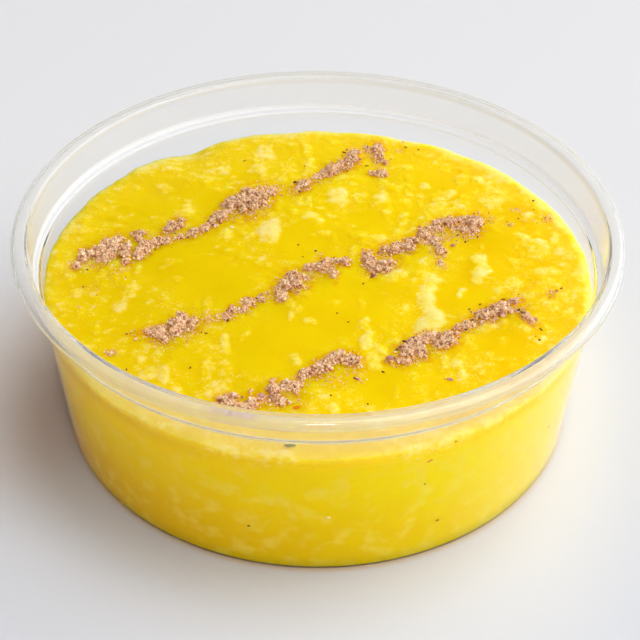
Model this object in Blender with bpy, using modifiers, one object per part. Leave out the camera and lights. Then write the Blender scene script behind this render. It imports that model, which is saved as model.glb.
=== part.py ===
"""Saffron rice pudding in its clear round tub, with three stripes of ground spice on top.

Metres, +Z up. The origin is the middle of the tub's foot, on the surface that it stands on.
Seen from the front, from -Y, the stripes climb from the left towards the far right.
"""

import math

import bmesh
import bpy
import numpy as np
from mathutils import Matrix, Vector, noise

MM = 0.001
COLLECTION_NAME = "saffron_rice_pudding"

# Tub: outside sizes, then the wall and the small radii
TUB_HEIGHT = 43.0 * MM
RIM_RADIUS = 58.5 * MM
MOUTH_RADIUS = 55.3 * MM
FOOT_WALL_RADIUS = 50.8 * MM
STEP_WALL_RADIUS = 54.1 * MM
WALL = 0.6 * MM
MOUTH_EDGE_RADIUS = 0.5 * MM
FLANGE_CROWN_DROP = 0.25 * MM
FLANGE_EDGE_RADIUS = 1.0 * MM
SKIRT_DEPTH = 1.8 * MM
STEP_WIDTH = 1.2 * MM
STEP_TOP = 36.0 * MM
STEP_BOTTOM = 34.9 * MM
FOOT_EDGE_RADIUS = 1.6 * MM
FOOT_RING_INNER_RADIUS = 46.0 * MM
FOOT_RECESS = 0.5 * MM
FLOOR_TOP = FOOT_RECESS + 0.7 * MM
TUB_STEPS = 64

# Pudding: it fills the tub up to its level, clear of the plastic by the gap
GAP = 0.3 * MM
LEVEL = 31.0 * MM
LEVEL_SWING = 0.5 * MM
EDGE_FALL = 0.3 * MM
EDGE_FALL_WIDTH = 1.5 * MM
SWELL_HEIGHT = 0.18 * MM
SWELL_PERIOD = 19.0 * MM
DENT_ANGLE = math.radians(122.0)
DENT_SPREAD = 4.5 * MM
DENT_DEPTH = 1.3 * MM
TOP_CELLS = 42
EVENING_PASSES = 8
RICE_SEED = 11
SMALL_RICE_COUNT = 170
SMALL_RICE_HALF_LENGTH = (1.8 * MM, 3.2 * MM)
SMALL_RICE_HEIGHT = (0.35 * MM, 0.8 * MM)
RICE_SLENDERNESS = 1.7

# Large soft clots of rice that stand up in the top: x, y, half length, half width, height (mm)
# and the turn of the long side from +X (degrees)
RICE_CLOTS = (
    (21.0, -13.0, 6.0, 2.6, 0.9, 84.0),
    (20.5, -1.0, 4.0, 2.2, 0.8, 95.0),
    (9.5, -22.5, 3.8, 1.8, 0.7, 75.0),
    (31.0, 1.5, 4.2, 2.2, 0.8, 70.0),
    (-9.8, 13.5, 4.0, 2.0, 0.8, 88.0),
    (-2.0, 18.5, 2.4, 2.0, 0.6, 0.0),
    (44.0, 9.0, 4.0, 2.4, 0.7, 60.0),
    (-37.5, -8.5, 4.6, 1.8, 0.6, 72.0),
    (-41.5, 1.0, 3.4, 2.4, 0.5, 20.0),
    (4.0, 26.0, 3.0, 1.7, 0.8, 80.0),
    (13.5, 25.5, 2.8, 1.8, 0.7, 95.0),
    (24.0, 22.0, 3.4, 1.7, 0.7, 60.0),
    (-12.0, 43.0, 3.2, 2.2, 0.6, 80.0),
    (-3.0, 44.5, 4.0, 1.6, 0.7, 95.0),
    (-18.0, 35.5, 2.8, 1.8, 0.6, 70.0),
    (2.0, -38.5, 3.2, 2.0, 0.7, 60.0),
    (-30.5, -35.5, 3.0, 2.0, 0.6, 40.0),
    (26.0, -29.5, 3.8, 1.6, 0.6, 110.0),
    (38.0, 28.0, 3.0, 1.8, 0.7, 30.0),
    (-20.0, -34.0, 2.8, 1.8, 0.6, 85.0),
    (-17.0, 8.0, 3.0, 1.6, 0.5, 60.0),
    (46.0, -10.0, 3.0, 2.0, 0.6, 80.0),
)

# Heaps of ground spice: x, y, half length, half width, height (mm), turn from +X (degrees)
BACK_STRIPE = (
    (-46.5, 2.6, 3.0, 1.0, 0.7, 60.0),
    (-42.6, 6.0, 4.4, 3.0, 1.6, 50.0),
    (-38.8, 3.6, 3.2, 1.5, 1.2, 105.0),
    (-36.2, 11.2, 1.4, 0.9, 0.6, 20.0),
    (-34.8, 6.4, 2.8, 1.8, 1.2, 45.0),
    (-31.8, 8.6, 2.2, 1.2, 0.8, 30.0),
    (-30.2, 13.6, 2.8, 1.7, 1.1, 45.0),
    (-26.0, 11.9, 2.5, 1.0, 0.7, 20.0),
    (-22.2, 15.0, 2.0, 1.0, 0.6, 50.0),
    (-20.3, 18.2, 2.7, 1.8, 1.1, 60.0),
    (-17.8, 22.4, 2.8, 2.3, 1.4, 50.0),
    (-14.2, 25.0, 4.6, 3.3, 2.0, 52.0),
    (-3.8, 30.4, 2.8, 1.3, 0.9, 52.0),
    (1.0, 34.6, 2.6, 1.3, 0.9, 50.0),
    (3.6, 37.8, 2.8, 1.9, 1.3, 40.0),
    (7.4, 41.8, 3.2, 1.9, 1.5, 60.0),
    (12.8, 44.0, 2.8, 1.3, 0.9, 85.0),
    (12.6, 35.0, 1.8, 1.0, 0.6, -10.0),
)
MIDDLE_STRIPE = (
    (-29.8, -20.0, 3.0, 1.3, 0.9, 15.0),
    (-26.0, -17.2, 2.8, 1.9, 1.2, 50.0),
    (-23.2, -16.8, 2.0, 1.4, 0.7, 10.0),
    (-13.3, -10.2, 1.5, 1.0, 0.7, 30.0),
    (-7.4, -7.8, 2.0, 1.2, 0.6, 30.0),
    (-5.0, -3.2, 3.0, 2.4, 1.5, 42.0),
    (-0.4, 0.8, 1.7, 1.0, 0.7, 30.0),
    (2.0, 1.4, 2.5, 1.7, 1.1, 60.0),
    (4.2, 3.0, 1.5, 1.0, 0.8, 30.0),
    (9.9, 3.8, 2.8, 1.3, 1.0, 96.0),
    (12.9, 2.0, 2.4, 1.3, 0.9, 40.0),
    (15.6, 7.8, 2.5, 1.5, 1.0, 35.0),
    (19.0, 9.2, 2.4, 1.4, 1.0, 30.0),
    (21.6, 12.2, 2.1, 1.5, 1.1, 52.0),
    (24.9, 14.9, 2.4, 1.2, 1.0, 42.0),
    (28.4, 16.8, 2.4, 1.2, 1.1, 15.0),
    (32.0, 16.6, 2.4, 1.9, 1.3, 60.0),
    (24.0, 6.4, 2.6, 1.0, 0.6, 110.0),
)
FRONT_STRIPE = (
    (-16.0, -38.8, 2.4, 1.4, 0.9, 10.0),
    (-13.2, -40.6, 2.2, 0.8, 0.7, -4.0),
    (-10.9, -38.8, 2.3, 1.9, 1.2, 60.0),
    (-7.5, -36.4, 3.0, 1.6, 1.1, 70.0),
    (-4.6, -34.6, 2.2, 1.3, 1.0, 20.0),
    (-2.0, -31.0, 2.0, 1.1, 0.7, 45.0),
    (1.2, -28.2, 2.7, 1.6, 1.2, 45.0),
    (3.9, -26.5, 2.5, 1.5, 1.2, 25.0),
    (6.7, -27.2, 1.5, 1.1, 0.7, 10.0),
    (13.3, -27.5, 1.1, 0.9, 0.9, 0.0),
    (16.6, -25.4, 3.0, 1.9, 1.3, 45.0),
    (18.6, -22.4, 2.6, 1.7, 1.3, 40.0),
    (23.6, -21.4, 3.2, 1.6, 1.1, 35.0),
    (27.2, -17.8, 2.3, 1.0, 0.9, 38.0),
    (31.4, -14.9, 3.0, 1.8, 1.5, 40.0),
    (34.4, -12.2, 2.3, 1.6, 1.3, 50.0),
    (37.4, -9.8, 2.3, 1.0, 0.9, 20.0),
    (39.2, -14.8, 2.6, 1.0, 0.9, -52.0),
)
HEAPS = BACK_STRIPE + MIDDLE_STRIPE + FRONT_STRIPE
HEAP_SINK = 0.25 * MM
HEAP_ROUGHNESS = 0.56
BUMPS_PER_BALL = 1.7
SMALL_HEAP = 2.0 * MM
LARGE_HEAP = 4.5 * MM

# Coarse crumbs of the spice that lie on the heaps and along their edges
CRUMB_SEED = 23
CRUMB_COUNT = 32
CRUMB_RADIUS = (0.45 * MM, 0.8 * MM)
CRUMB_FLATNESS = 0.75

CLEAR_PLASTIC_COLOUR = (0.93, 0.94, 0.95)
PUDDING_COLOUR = (0.86, 0.62, 0.02)
SPICE_COLOUR = (0.55, 0.32, 0.22)


def clear_scene():
    for old in list(bpy.data.objects):
        bpy.data.objects.remove(old, do_unlink=True)


def make_collection(name):
    collection = bpy.data.collections.new(name)
    bpy.context.scene.collection.children.link(collection)
    return collection


def make_material(name, colour, roughness, transmission=0.0):
    material = bpy.data.materials.new(name)
    material.use_nodes = True
    shader = material.node_tree.nodes["Principled BSDF"]
    shader.inputs["Base Color"].default_value = colour + (1.0,)
    shader.inputs["Roughness"].default_value = roughness
    shader.inputs["Metallic"].default_value = 0.0
    shader.inputs["Transmission Weight"].default_value = transmission
    material.diffuse_color = colour + (1.0,)
    return material


def add_object(name, mesh, collection, material):
    placed = bpy.data.objects.new(name, mesh)
    mesh.materials.append(material)
    collection.objects.link(placed)
    return placed


def arc(centre, radius, start, end, steps):
    """Points (r, z) on an arc, from one angle to the other, in degrees from +r towards +z."""
    points = []
    for step in range(steps + 1):
        angle = math.radians(start + (end - start) * step / steps)
        points.append((centre[0] + radius * math.cos(angle), centre[1] + radius * math.sin(angle)))
    return points


def outer_wall_radius(z):
    """Outside radius of the tapered wall below the stacking step."""
    return FOOT_WALL_RADIUS + (STEP_WALL_RADIUS - FOOT_WALL_RADIUS) * z / STEP_BOTTOM


def inner_wall_radius(z):
    return outer_wall_radius(z) - WALL


def tub_profile():
    """The tub's section, from the middle of its floor up the inside, over the rim and down."""
    inner_edge_radius = FOOT_EDGE_RADIUS - WALL / 2
    inner_corner = (inner_wall_radius(FLOOR_TOP) - inner_edge_radius, FLOOR_TOP + inner_edge_radius)
    outer_corner = (outer_wall_radius(0.0) - FOOT_EDGE_RADIUS, FOOT_EDGE_RADIUS)
    upper_inner = inner_wall_radius(STEP_BOTTOM) + STEP_WIDTH
    mouth_top = TUB_HEIGHT - FLANGE_CROWN_DROP
    mouth_centre = (MOUTH_RADIUS + MOUTH_EDGE_RADIUS, mouth_top - MOUTH_EDGE_RADIUS)
    crown_radius = (MOUTH_RADIUS + RIM_RADIUS + MOUTH_EDGE_RADIUS) / 2
    edge_top = TUB_HEIGHT - FLANGE_CROWN_DROP / 2
    edge_centre = (RIM_RADIUS - FLANGE_EDGE_RADIUS, edge_top - FLANGE_EDGE_RADIUS)
    skirt_bottom = TUB_HEIGHT - SKIRT_DEPTH
    under_flange = mouth_top - WALL

    points = [(0.0, FLOOR_TOP)]
    points += arc(inner_corner, inner_edge_radius, -90, 0, 2)
    points.append((inner_wall_radius(STEP_BOTTOM), STEP_BOTTOM))
    points.append((upper_inner, STEP_TOP))
    points += arc(mouth_centre, MOUTH_EDGE_RADIUS, 180, 90, 2)
    points.append((crown_radius, TUB_HEIGHT))
    points += arc(edge_centre, FLANGE_EDGE_RADIUS, 80, 0, 3)
    points.append((RIM_RADIUS, skirt_bottom))
    points.append((RIM_RADIUS - WALL, skirt_bottom))
    points.append((RIM_RADIUS - WALL, under_flange - WALL))
    points.append((RIM_RADIUS - 2 * WALL, under_flange))
    points.append((MOUTH_RADIUS + WALL, under_flange))
    points.append((upper_inner + WALL, STEP_TOP))
    points.append((outer_wall_radius(STEP_BOTTOM), STEP_BOTTOM - WALL / 2))
    points += arc(outer_corner, FOOT_EDGE_RADIUS, 0, -90, 2)
    points.append((FOOT_RING_INNER_RADIUS, 0.0))
    points.append((FOOT_RING_INNER_RADIUS - FOOT_RECESS, FOOT_RECESS))
    points.append((0.0, FOOT_RECESS))
    return points


def make_tub(collection):
    """The clear tub, turned about its axis."""
    mesh = bpy.data.meshes.new("tub")
    shape = bmesh.new()
    corners = [shape.verts.new((r, 0.0, z)) for r, z in tub_profile()]
    for start, end in zip(corners, corners[1:]):
        shape.edges.new((start, end))
    shape.to_mesh(mesh)
    shape.free()
    plastic = make_material("clear_plastic", CLEAR_PLASTIC_COLOUR, 0.05, transmission=1.0)
    tub = add_object("tub", mesh, collection, plastic)
    turn = tub.modifiers.new("turned", "SCREW")
    turn.axis = "Z"
    turn.angle = math.tau
    turn.steps = TUB_STEPS
    turn.render_steps = TUB_STEPS
    turn.use_merge_vertices = True
    turn.merge_threshold = 0.00001
    turn.use_smooth_shade = True
    return tub


def rice_clots():
    """The large clots and many small seeded ones, as rows in metres and radians."""
    clots = [
        (x * MM, y * MM, length * MM, width * MM, height * MM, math.radians(turn))
        for x, y, length, width, height, turn in RICE_CLOTS
    ]
    draw = np.random.default_rng(RICE_SEED)
    reach = inner_wall_radius(LEVEL) - 2 * MM
    for _ in range(SMALL_RICE_COUNT):
        distance = reach * math.sqrt(draw.random())
        angle = math.tau * draw.random()
        length = draw.uniform(*SMALL_RICE_HALF_LENGTH)
        height = draw.uniform(*SMALL_RICE_HEIGHT)
        turn = math.pi * draw.random()
        place = (distance * math.cos(angle), distance * math.sin(angle))
        clots.append(place + (length, length / RICE_SLENDERNESS, height, turn))
    return clots


def dome(x, y, row):
    """Height of a soft dome at (x, y): its own height in the middle, falling to 0 at its edge."""
    centre_x, centre_y, length, width, height, turn = row
    along = (x - centre_x) * math.cos(turn) + (y - centre_y) * math.sin(turn)
    across = (y - centre_y) * math.cos(turn) - (x - centre_x) * math.sin(turn)
    inside = 1.0 - (along / length) ** 2 - (across / width) ** 2
    return height * max(inside, 0.0) ** 0.8


def surface_height(x, y, clots):
    """Height of the pudding's top: its level, long swells, rice clots, a dent and the edge."""
    reach = inner_wall_radius(LEVEL)
    distance = math.hypot(x, y)
    height = LEVEL + LEVEL_SWING * (x * x - y * y) / reach**2
    wave = math.tau / SWELL_PERIOD
    height += SWELL_HEIGHT * math.sin(wave * (x + 0.4 * y)) * math.cos(wave * (y - 0.3 * x))
    height += max(dome(x, y, row) for row in clots)
    dent_x, dent_y = reach * math.cos(DENT_ANGLE), reach * math.sin(DENT_ANGLE)
    from_dent = math.hypot(x - dent_x, y - dent_y) / DENT_SPREAD
    height -= DENT_DEPTH * math.exp(-from_dent * from_dent)
    near_wall = min(max((distance - reach + EDGE_FALL_WIDTH) / EDGE_FALL_WIDTH, 0.0), 1.0)
    return height - EDGE_FALL * near_wall**2


def square_to_disc(u, v):
    """A point of the square from -1 to 1, moved to the unit disc so that its cells stay even."""
    size = max(abs(u), abs(v))
    if size == 0.0:
        return 0.0, 0.0
    if abs(u) >= abs(v):
        angle = math.pi / 4 * v / u + (math.pi if u < 0.0 else 0.0)
    else:
        angle = math.pi / 2 - math.pi / 4 * u / v + (math.pi if v < 0.0 else 0.0)
    return size * math.cos(angle), size * math.sin(angle)


def pudding_side():
    """Points (r, z) down the pudding's side below its top edge, clear of the tub's inside."""
    bottom = FLOOR_TOP + GAP
    edge_radius = FOOT_EDGE_RADIUS - WALL / 2
    corner = (inner_wall_radius(bottom) - GAP - edge_radius, bottom + edge_radius)
    return arc(corner, edge_radius, 0, -90, 2)


def make_pudding_core(collection):
    """The bare pudding: a lumpy top of even cells over a side and a floor that follow the tub."""
    clots = rice_clots()
    shape = bmesh.new()
    bmesh.ops.create_grid(shape, x_segments=TOP_CELLS, y_segments=TOP_CELLS, size=1.0)
    rim = [edge for edge in shape.edges if edge.is_boundary]
    rim_corners = {corner for edge in rim for corner in edge.verts}
    reach = inner_wall_radius(LEVEL) - GAP
    for corner in shape.verts:
        u, v = square_to_disc(corner.co.x, corner.co.y)
        corner.co = (u * reach, v * reach, 0.0)
    inner_corners = [corner for corner in shape.verts if corner not in rim_corners]
    for _ in range(EVENING_PASSES):
        bmesh.ops.smooth_vert(
            shape, verts=inner_corners, factor=0.5, use_axis_x=True, use_axis_y=True
        )
    for corner in shape.verts:
        corner.co.z = surface_height(corner.co.x, corner.co.y, clots)
        if corner in rim_corners:
            angle = math.atan2(corner.co.y, corner.co.x)
            radius = inner_wall_radius(corner.co.z) - GAP
            corner.co.xy = (radius * math.cos(angle), radius * math.sin(angle))
    bmesh.ops.triangulate(shape, faces=shape.faces, quad_method="SHORT_EDGE")
    for radius, z in pudding_side():
        made = bmesh.ops.extrude_edge_only(shape, edges=rim)["geom"]
        rim = [edge for edge in made if isinstance(edge, bmesh.types.BMEdge) and edge.is_boundary]
        for corner in {corner for edge in rim for corner in edge.verts}:
            angle = math.atan2(corner.co.y, corner.co.x)
            corner.co = (radius * math.cos(angle), radius * math.sin(angle), z)
    bmesh.ops.holes_fill(shape, edges=rim, sides=0)
    bmesh.ops.recalc_face_normals(shape, faces=shape.faces)
    mesh = bpy.data.meshes.new("pudding")
    shape.to_mesh(mesh)
    shape.free()
    saffron = make_material("saffron_pudding", PUDDING_COLOUR, 0.35)
    return add_object("pudding", mesh, collection, saffron)


def add_lump(name, centre, size, turn, detail, roughness, collection, material):
    """A rough ball squashed to its three half sizes, turned and set at its centre."""
    mesh = bpy.data.meshes.new(name)
    shape = bmesh.new()
    bmesh.ops.create_icosphere(shape, subdivisions=detail, radius=1.0)
    for corner in shape.verts:
        bump = noise.noise(corner.co * BUMPS_PER_BALL + centre / MM)
        corner.co *= 1.0 + roughness * bump
    scale = Matrix.Diagonal(Vector(size).to_4d())
    bmesh.ops.transform(shape, matrix=Matrix.Translation(centre) @ turn @ scale, verts=shape.verts)
    shape.to_mesh(mesh)
    shape.free()
    return add_object(name, mesh, collection, material)


def add_heaps(collection, material, clots):
    for index, (x, y, length, width, height, turn) in enumerate(HEAPS):
        ground = surface_height(x * MM, y * MM, clots)
        centre = Vector((x * MM, y * MM, ground - HEAP_SINK))
        size = (length * MM, width * MM, height * MM + HEAP_SINK)
        detail = 2 + (size[0] > LARGE_HEAP) - (size[0] <= SMALL_HEAP)
        turned = Matrix.Rotation(math.radians(turn), 4, "Z")
        add_lump(f"heap_{index}", centre, size, turned, detail, HEAP_ROUGHNESS, collection, material)


def add_crumbs(collection, material, clots):
    """Coarse crumbs on the heaps, more of them on the larger heaps."""
    draw = np.random.default_rng(CRUMB_SEED)
    areas = np.array([heap[2] * heap[3] for heap in HEAPS])
    chosen = draw.choice(len(HEAPS), size=CRUMB_COUNT, p=areas / areas.sum())
    for index, pick in enumerate(chosen):
        x, y, length, width, height, turn = HEAPS[pick]
        share = math.sqrt(draw.random())
        around = math.tau * draw.random()
        along, across = length * share * math.cos(around), width * share * math.sin(around)
        angle = math.radians(turn)
        crumb_x = (x + along * math.cos(angle) - across * math.sin(angle)) * MM
        crumb_y = (y + along * math.sin(angle) + across * math.cos(angle)) * MM
        on_heap = height * MM * math.sqrt(max(1.0 - share**2, 0.0))
        radius = draw.uniform(*CRUMB_RADIUS)
        centre = Vector((crumb_x, crumb_y, surface_height(crumb_x, crumb_y, clots) + on_heap))
        axis = Vector(draw.normal(size=3)).normalized()
        turned = Matrix.Rotation(math.tau * draw.random(), 4, axis)
        size = (radius, radius, radius * CRUMB_FLATNESS)
        add_lump(f"crumb_{index}", centre, size, turned, 1, HEAP_ROUGHNESS, collection, material)


def keep_largest_shell(mesh):
    """Drops loose scraps and the walls of sealed hollows, which are shells of their own."""
    shape = bmesh.new()
    shape.from_mesh(mesh)
    waiting = set(shape.verts)
    shells = []
    while waiting:
        shell = set()
        reached = [waiting.pop()]
        while reached:
            corner = reached.pop()
            shell.add(corner)
            for edge in corner.link_edges:
                other = edge.other_vert(corner)
                if other in waiting:
                    waiting.remove(other)
                    reached.append(other)
        shells.append(shell)
    largest = max(shells, key=len)
    bmesh.ops.delete(shape, geom=[v for v in shape.verts if v not in largest], context="VERTS")
    shape.to_mesh(mesh)
    shape.free()


def fuse_topping(pudding, topping):
    """Joins the pudding and every object of the topping's collection into one body."""
    join = pudding.modifiers.new("fused_topping", "BOOLEAN")
    join.operation = "UNION"
    join.operand_type = "COLLECTION"
    join.collection = topping
    join.solver = "EXACT"
    depsgraph = bpy.context.evaluated_depsgraph_get()
    fused = bpy.data.meshes.new_from_object(pudding.evaluated_get(depsgraph))
    pudding.modifiers.clear()
    pudding.data = fused
    for piece in list(topping.objects):
        bpy.data.objects.remove(piece, do_unlink=True)
    bpy.data.collections.remove(topping)
    keep_largest_shell(fused)
    fused.shade_flat()


def make_pudding(collection):
    """The pudding with its heaps and crumbs of spice fused on."""
    clots = rice_clots()
    pudding = make_pudding_core(collection)
    topping = make_collection("spice_topping")
    spice = make_material("ground_spice", SPICE_COLOUR, 0.9)
    add_heaps(topping, spice, clots)
    add_crumbs(topping, spice, clots)
    fuse_topping(pudding, topping)
    return pudding


def main():
    clear_scene()
    collection = make_collection(COLLECTION_NAME)
    make_tub(collection)
    make_pudding(collection)


main()
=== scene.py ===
"""Saffron rice pudding in a clear round tub, with three stripes of ground spice on its lumpy top.

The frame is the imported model: metres, +Z up, origin in the middle of the tub's foot. Seen from the
front, from -Y, the stripes climb from the left towards the far right. Lengths are in metres, except
in the tables whose comments say mm or pixels.
"""

import math

import bmesh
import bpy
import numpy as np
from mathutils import Matrix, Vector


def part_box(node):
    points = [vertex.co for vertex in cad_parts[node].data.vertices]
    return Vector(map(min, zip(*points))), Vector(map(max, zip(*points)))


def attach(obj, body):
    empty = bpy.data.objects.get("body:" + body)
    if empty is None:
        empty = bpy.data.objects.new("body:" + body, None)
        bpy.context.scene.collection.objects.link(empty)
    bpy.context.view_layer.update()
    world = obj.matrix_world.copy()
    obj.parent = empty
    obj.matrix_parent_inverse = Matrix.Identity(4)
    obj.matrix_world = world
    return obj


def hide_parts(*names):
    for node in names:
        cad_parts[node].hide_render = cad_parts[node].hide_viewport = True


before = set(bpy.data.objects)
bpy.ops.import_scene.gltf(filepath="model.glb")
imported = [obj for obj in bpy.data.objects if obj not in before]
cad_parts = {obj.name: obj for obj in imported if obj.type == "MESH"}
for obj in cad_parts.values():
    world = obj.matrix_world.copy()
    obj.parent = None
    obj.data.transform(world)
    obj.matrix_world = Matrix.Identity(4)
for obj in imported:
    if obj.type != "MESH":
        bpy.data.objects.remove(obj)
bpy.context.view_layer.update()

MM = 0.001
# Cells along each side of the noise's random grid, which repeats beyond them
NOISE_CELLS = 256

# Tub: the height and the rim come from the frame, the rest are the turned section's own sizes
TUB_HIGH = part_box("tub")[1]
TUB_HEIGHT = TUB_HIGH.z
RIM_RADIUS = TUB_HIGH.x
MOUTH_RADIUS = 55.3 * MM
FOOT_WALL_RADIUS = 50.8 * MM
STEP_WALL_RADIUS = 54.1 * MM
WALL = 0.6 * MM
MOUTH_EDGE_RADIUS = 0.5 * MM
FLANGE_CROWN_DROP = 0.25 * MM
FLANGE_EDGE_RADIUS = 1.0 * MM
SKIRT_DEPTH = 1.8 * MM
SKIRT_EDGE_RADIUS = 0.2 * MM
STEP_WIDTH = 1.2 * MM
STEP_TOP = 36.0 * MM
STEP_BOTTOM = 34.9 * MM
STEP_EDGE_RADIUS = 0.45 * MM
FOOT_EDGE_RADIUS = 1.6 * MM
FOOT_RING_INNER_RADIUS = 46.0 * MM
FOOT_RECESS = 0.5 * MM
FLOOR_TOP = FOOT_RECESS + 0.7 * MM
TUB_STEPS = 224
ARC_POINTS = 6
FILLET_POINTS = 4
SMALL_ARC_POINTS = 3
MERGE_DISTANCE = 0.005 * MM
SHARP_ANGLE = math.radians(50.0)

# Pudding: its level and its swells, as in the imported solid, and how deep it reaches into the wall
LEVEL = 31.0 * MM
LEVEL_SWING = 0.5 * MM
EDGE_FALL = 0.3 * MM
EDGE_FALL_WIDTH = 1.5 * MM
EDGE_WOBBLE = 0.35 * MM
EDGE_WOBBLE_SIZE = 5.0 * MM
EDGE_WOBBLE_WIDTH = 4.5 * MM
EDGE_WOBBLE_SEED = 191
SWELL_HEIGHT = 0.18 * MM
SWELL_PERIOD = 19.0 * MM
SWELL_SKEW = (0.4, 0.3)
DENT_ANGLE = math.radians(122.0)
DENT_SPREAD = 4.5 * MM
DENT_DEPTH = 1.3 * MM
INTO_WALL = 0.15 * MM
INTO_FLOOR = 0.45 * MM
FILLING_EDGE_RADIUS = 0.6 * MM
TOP_CELLS = 232
SIDE_ROWS = 14
SIDE_START_DROP = 1.5 * MM
EVENING_PASSES = 8
EVENING = 0.5
# The rice and the spice on the top fade out between these depths below the level, down the side
TOP_FADE = (5.5 * MM, 0.5 * MM)

# Rice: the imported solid's seeded small clots, then finer broken grains. A fade holds the two values
# between which a smooth step goes from 0 to 1. Two seeds are for x and y, and any other pair holds
# the least and the most
RICE_SEED = 11
SMALL_RICE_COUNT = 170
SMALL_RICE_HALF_LENGTH = (1.8 * MM, 3.2 * MM)
SMALL_RICE_HEIGHT = (0.35 * MM, 0.8 * MM)
SMALL_RICE_WALL_GAP = 2.0 * MM
SMALL_RICE_SHARE = (0.3, 1.0)
RICE_SLENDERNESS = 1.7
RICE_WARP = 1.0 * MM
RICE_WARP_SIZE = 2.8 * MM
RICE_WARP_SEEDS = (101, 131)
RICE_RELIEF = 0.4
RICE_ROUNDNESS = 1.2
PATCH_RELIEF = 0.45
PATCH_RISE_FADE = (-0.6, 0.9)
PATCH_PALE_FADE = (-2.2, 0.6)
SMOOTH_PATCH_FADE = (1.15, 0.6)
CLUMP_SIZE = 6.0 * MM
CLUMP_SEED = 5
CLUMP_FADE = (-0.5, 0.6)
PLAIN_PALENESS = (0.08, 0.38)
LUMP_SIZE = 1.5 * MM
LUMP_HEIGHT = 0.08 * MM
LUMP_SEED = 161
LUMP_SHARE = (0.25, 1.45)
NUB_SIZE = 2.4 * MM
NUB_HEIGHT = 0.12 * MM
NUB_SEED = 401
NUB_FADE = (0.05, 0.50)
NUB_PALENESS = (0.25, 0.60)
EDGE_RICE = 0.40
EDGE_RICE_WIDTH = 7.0 * MM
EDGE_RICE_LINE_WIDTH = 2.8 * MM
EDGE_RICE_SHARE = (0.4, 1.0)
# There is less rice at the wall on the front left
EDGE_RICE_SIDES = (0.35, 1.0)
EDGE_RICE_SIDES_FADE = (-60.0 * MM, 30.0 * MM)
GRAIN_SEED = 41
LOOSE_GRAINS = 1500
GRAIN_HALF_LENGTH = (0.4 * MM, 1.1 * MM)
GRAIN_SLENDERNESS = 1.8
GRAIN_STRENGTH = (0.15, 0.75)
GRAIN_HEIGHT = 0.10 * MM
GRAIN_ROUNDNESS = 0.9
GRAIN_PALENESS = 0.35
GRAIN_PALE_FADE = (-0.5, 0.8)
GRAIN_REACH = 2.2
GRAINS_MISSING_ON_GEL = 0.85

# Columns of a row that stands for an ellipse on the top
X, Y, LENGTH, WIDTH, HEIGHT, TURN = range(6)

# Large soft clots of rice: x, y, half length, half width, height (mm) and turn from +X (degrees)
RICE_CLOTS = (
    (21, -13, 6, 2.6, 0.9, 84), (20.5, -1, 4, 2.2, 0.8, 95), (9.5, -22.5, 3.8, 1.8, 0.7, 75),
    (31, 1.5, 4.2, 2.2, 0.8, 70), (-9.8, 13.5, 4, 2, 0.8, 88), (-2, 18.5, 2.4, 2, 0.6, 0),
    (44, 9, 4, 2.4, 0.7, 60), (-37.5, -8.5, 4.6, 1.8, 0.6, 72), (-41.5, 1, 3.4, 2.4, 0.5, 20),
    (4, 26, 3, 1.7, 0.8, 80), (13.5, 25.5, 2.8, 1.8, 0.7, 95), (24, 22, 3.4, 1.7, 0.7, 60),
    (-12, 43, 3.2, 2.2, 0.6, 80), (-3, 44.5, 4, 1.6, 0.7, 95), (-18, 35.5, 2.8, 1.8, 0.6, 70),
    (2, -38.5, 3.2, 2, 0.7, 60), (-30.5, -35.5, 3, 2, 0.6, 40), (26, -29.5, 3.8, 1.6, 0.6, 110),
    (38, 28, 3, 1.8, 0.7, 30), (-20, -34, 2.8, 1.8, 0.6, 85), (-17, 8, 3, 1.6, 0.5, 60),
    (46, -10, 3, 2, 0.6, 80),
)

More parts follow.
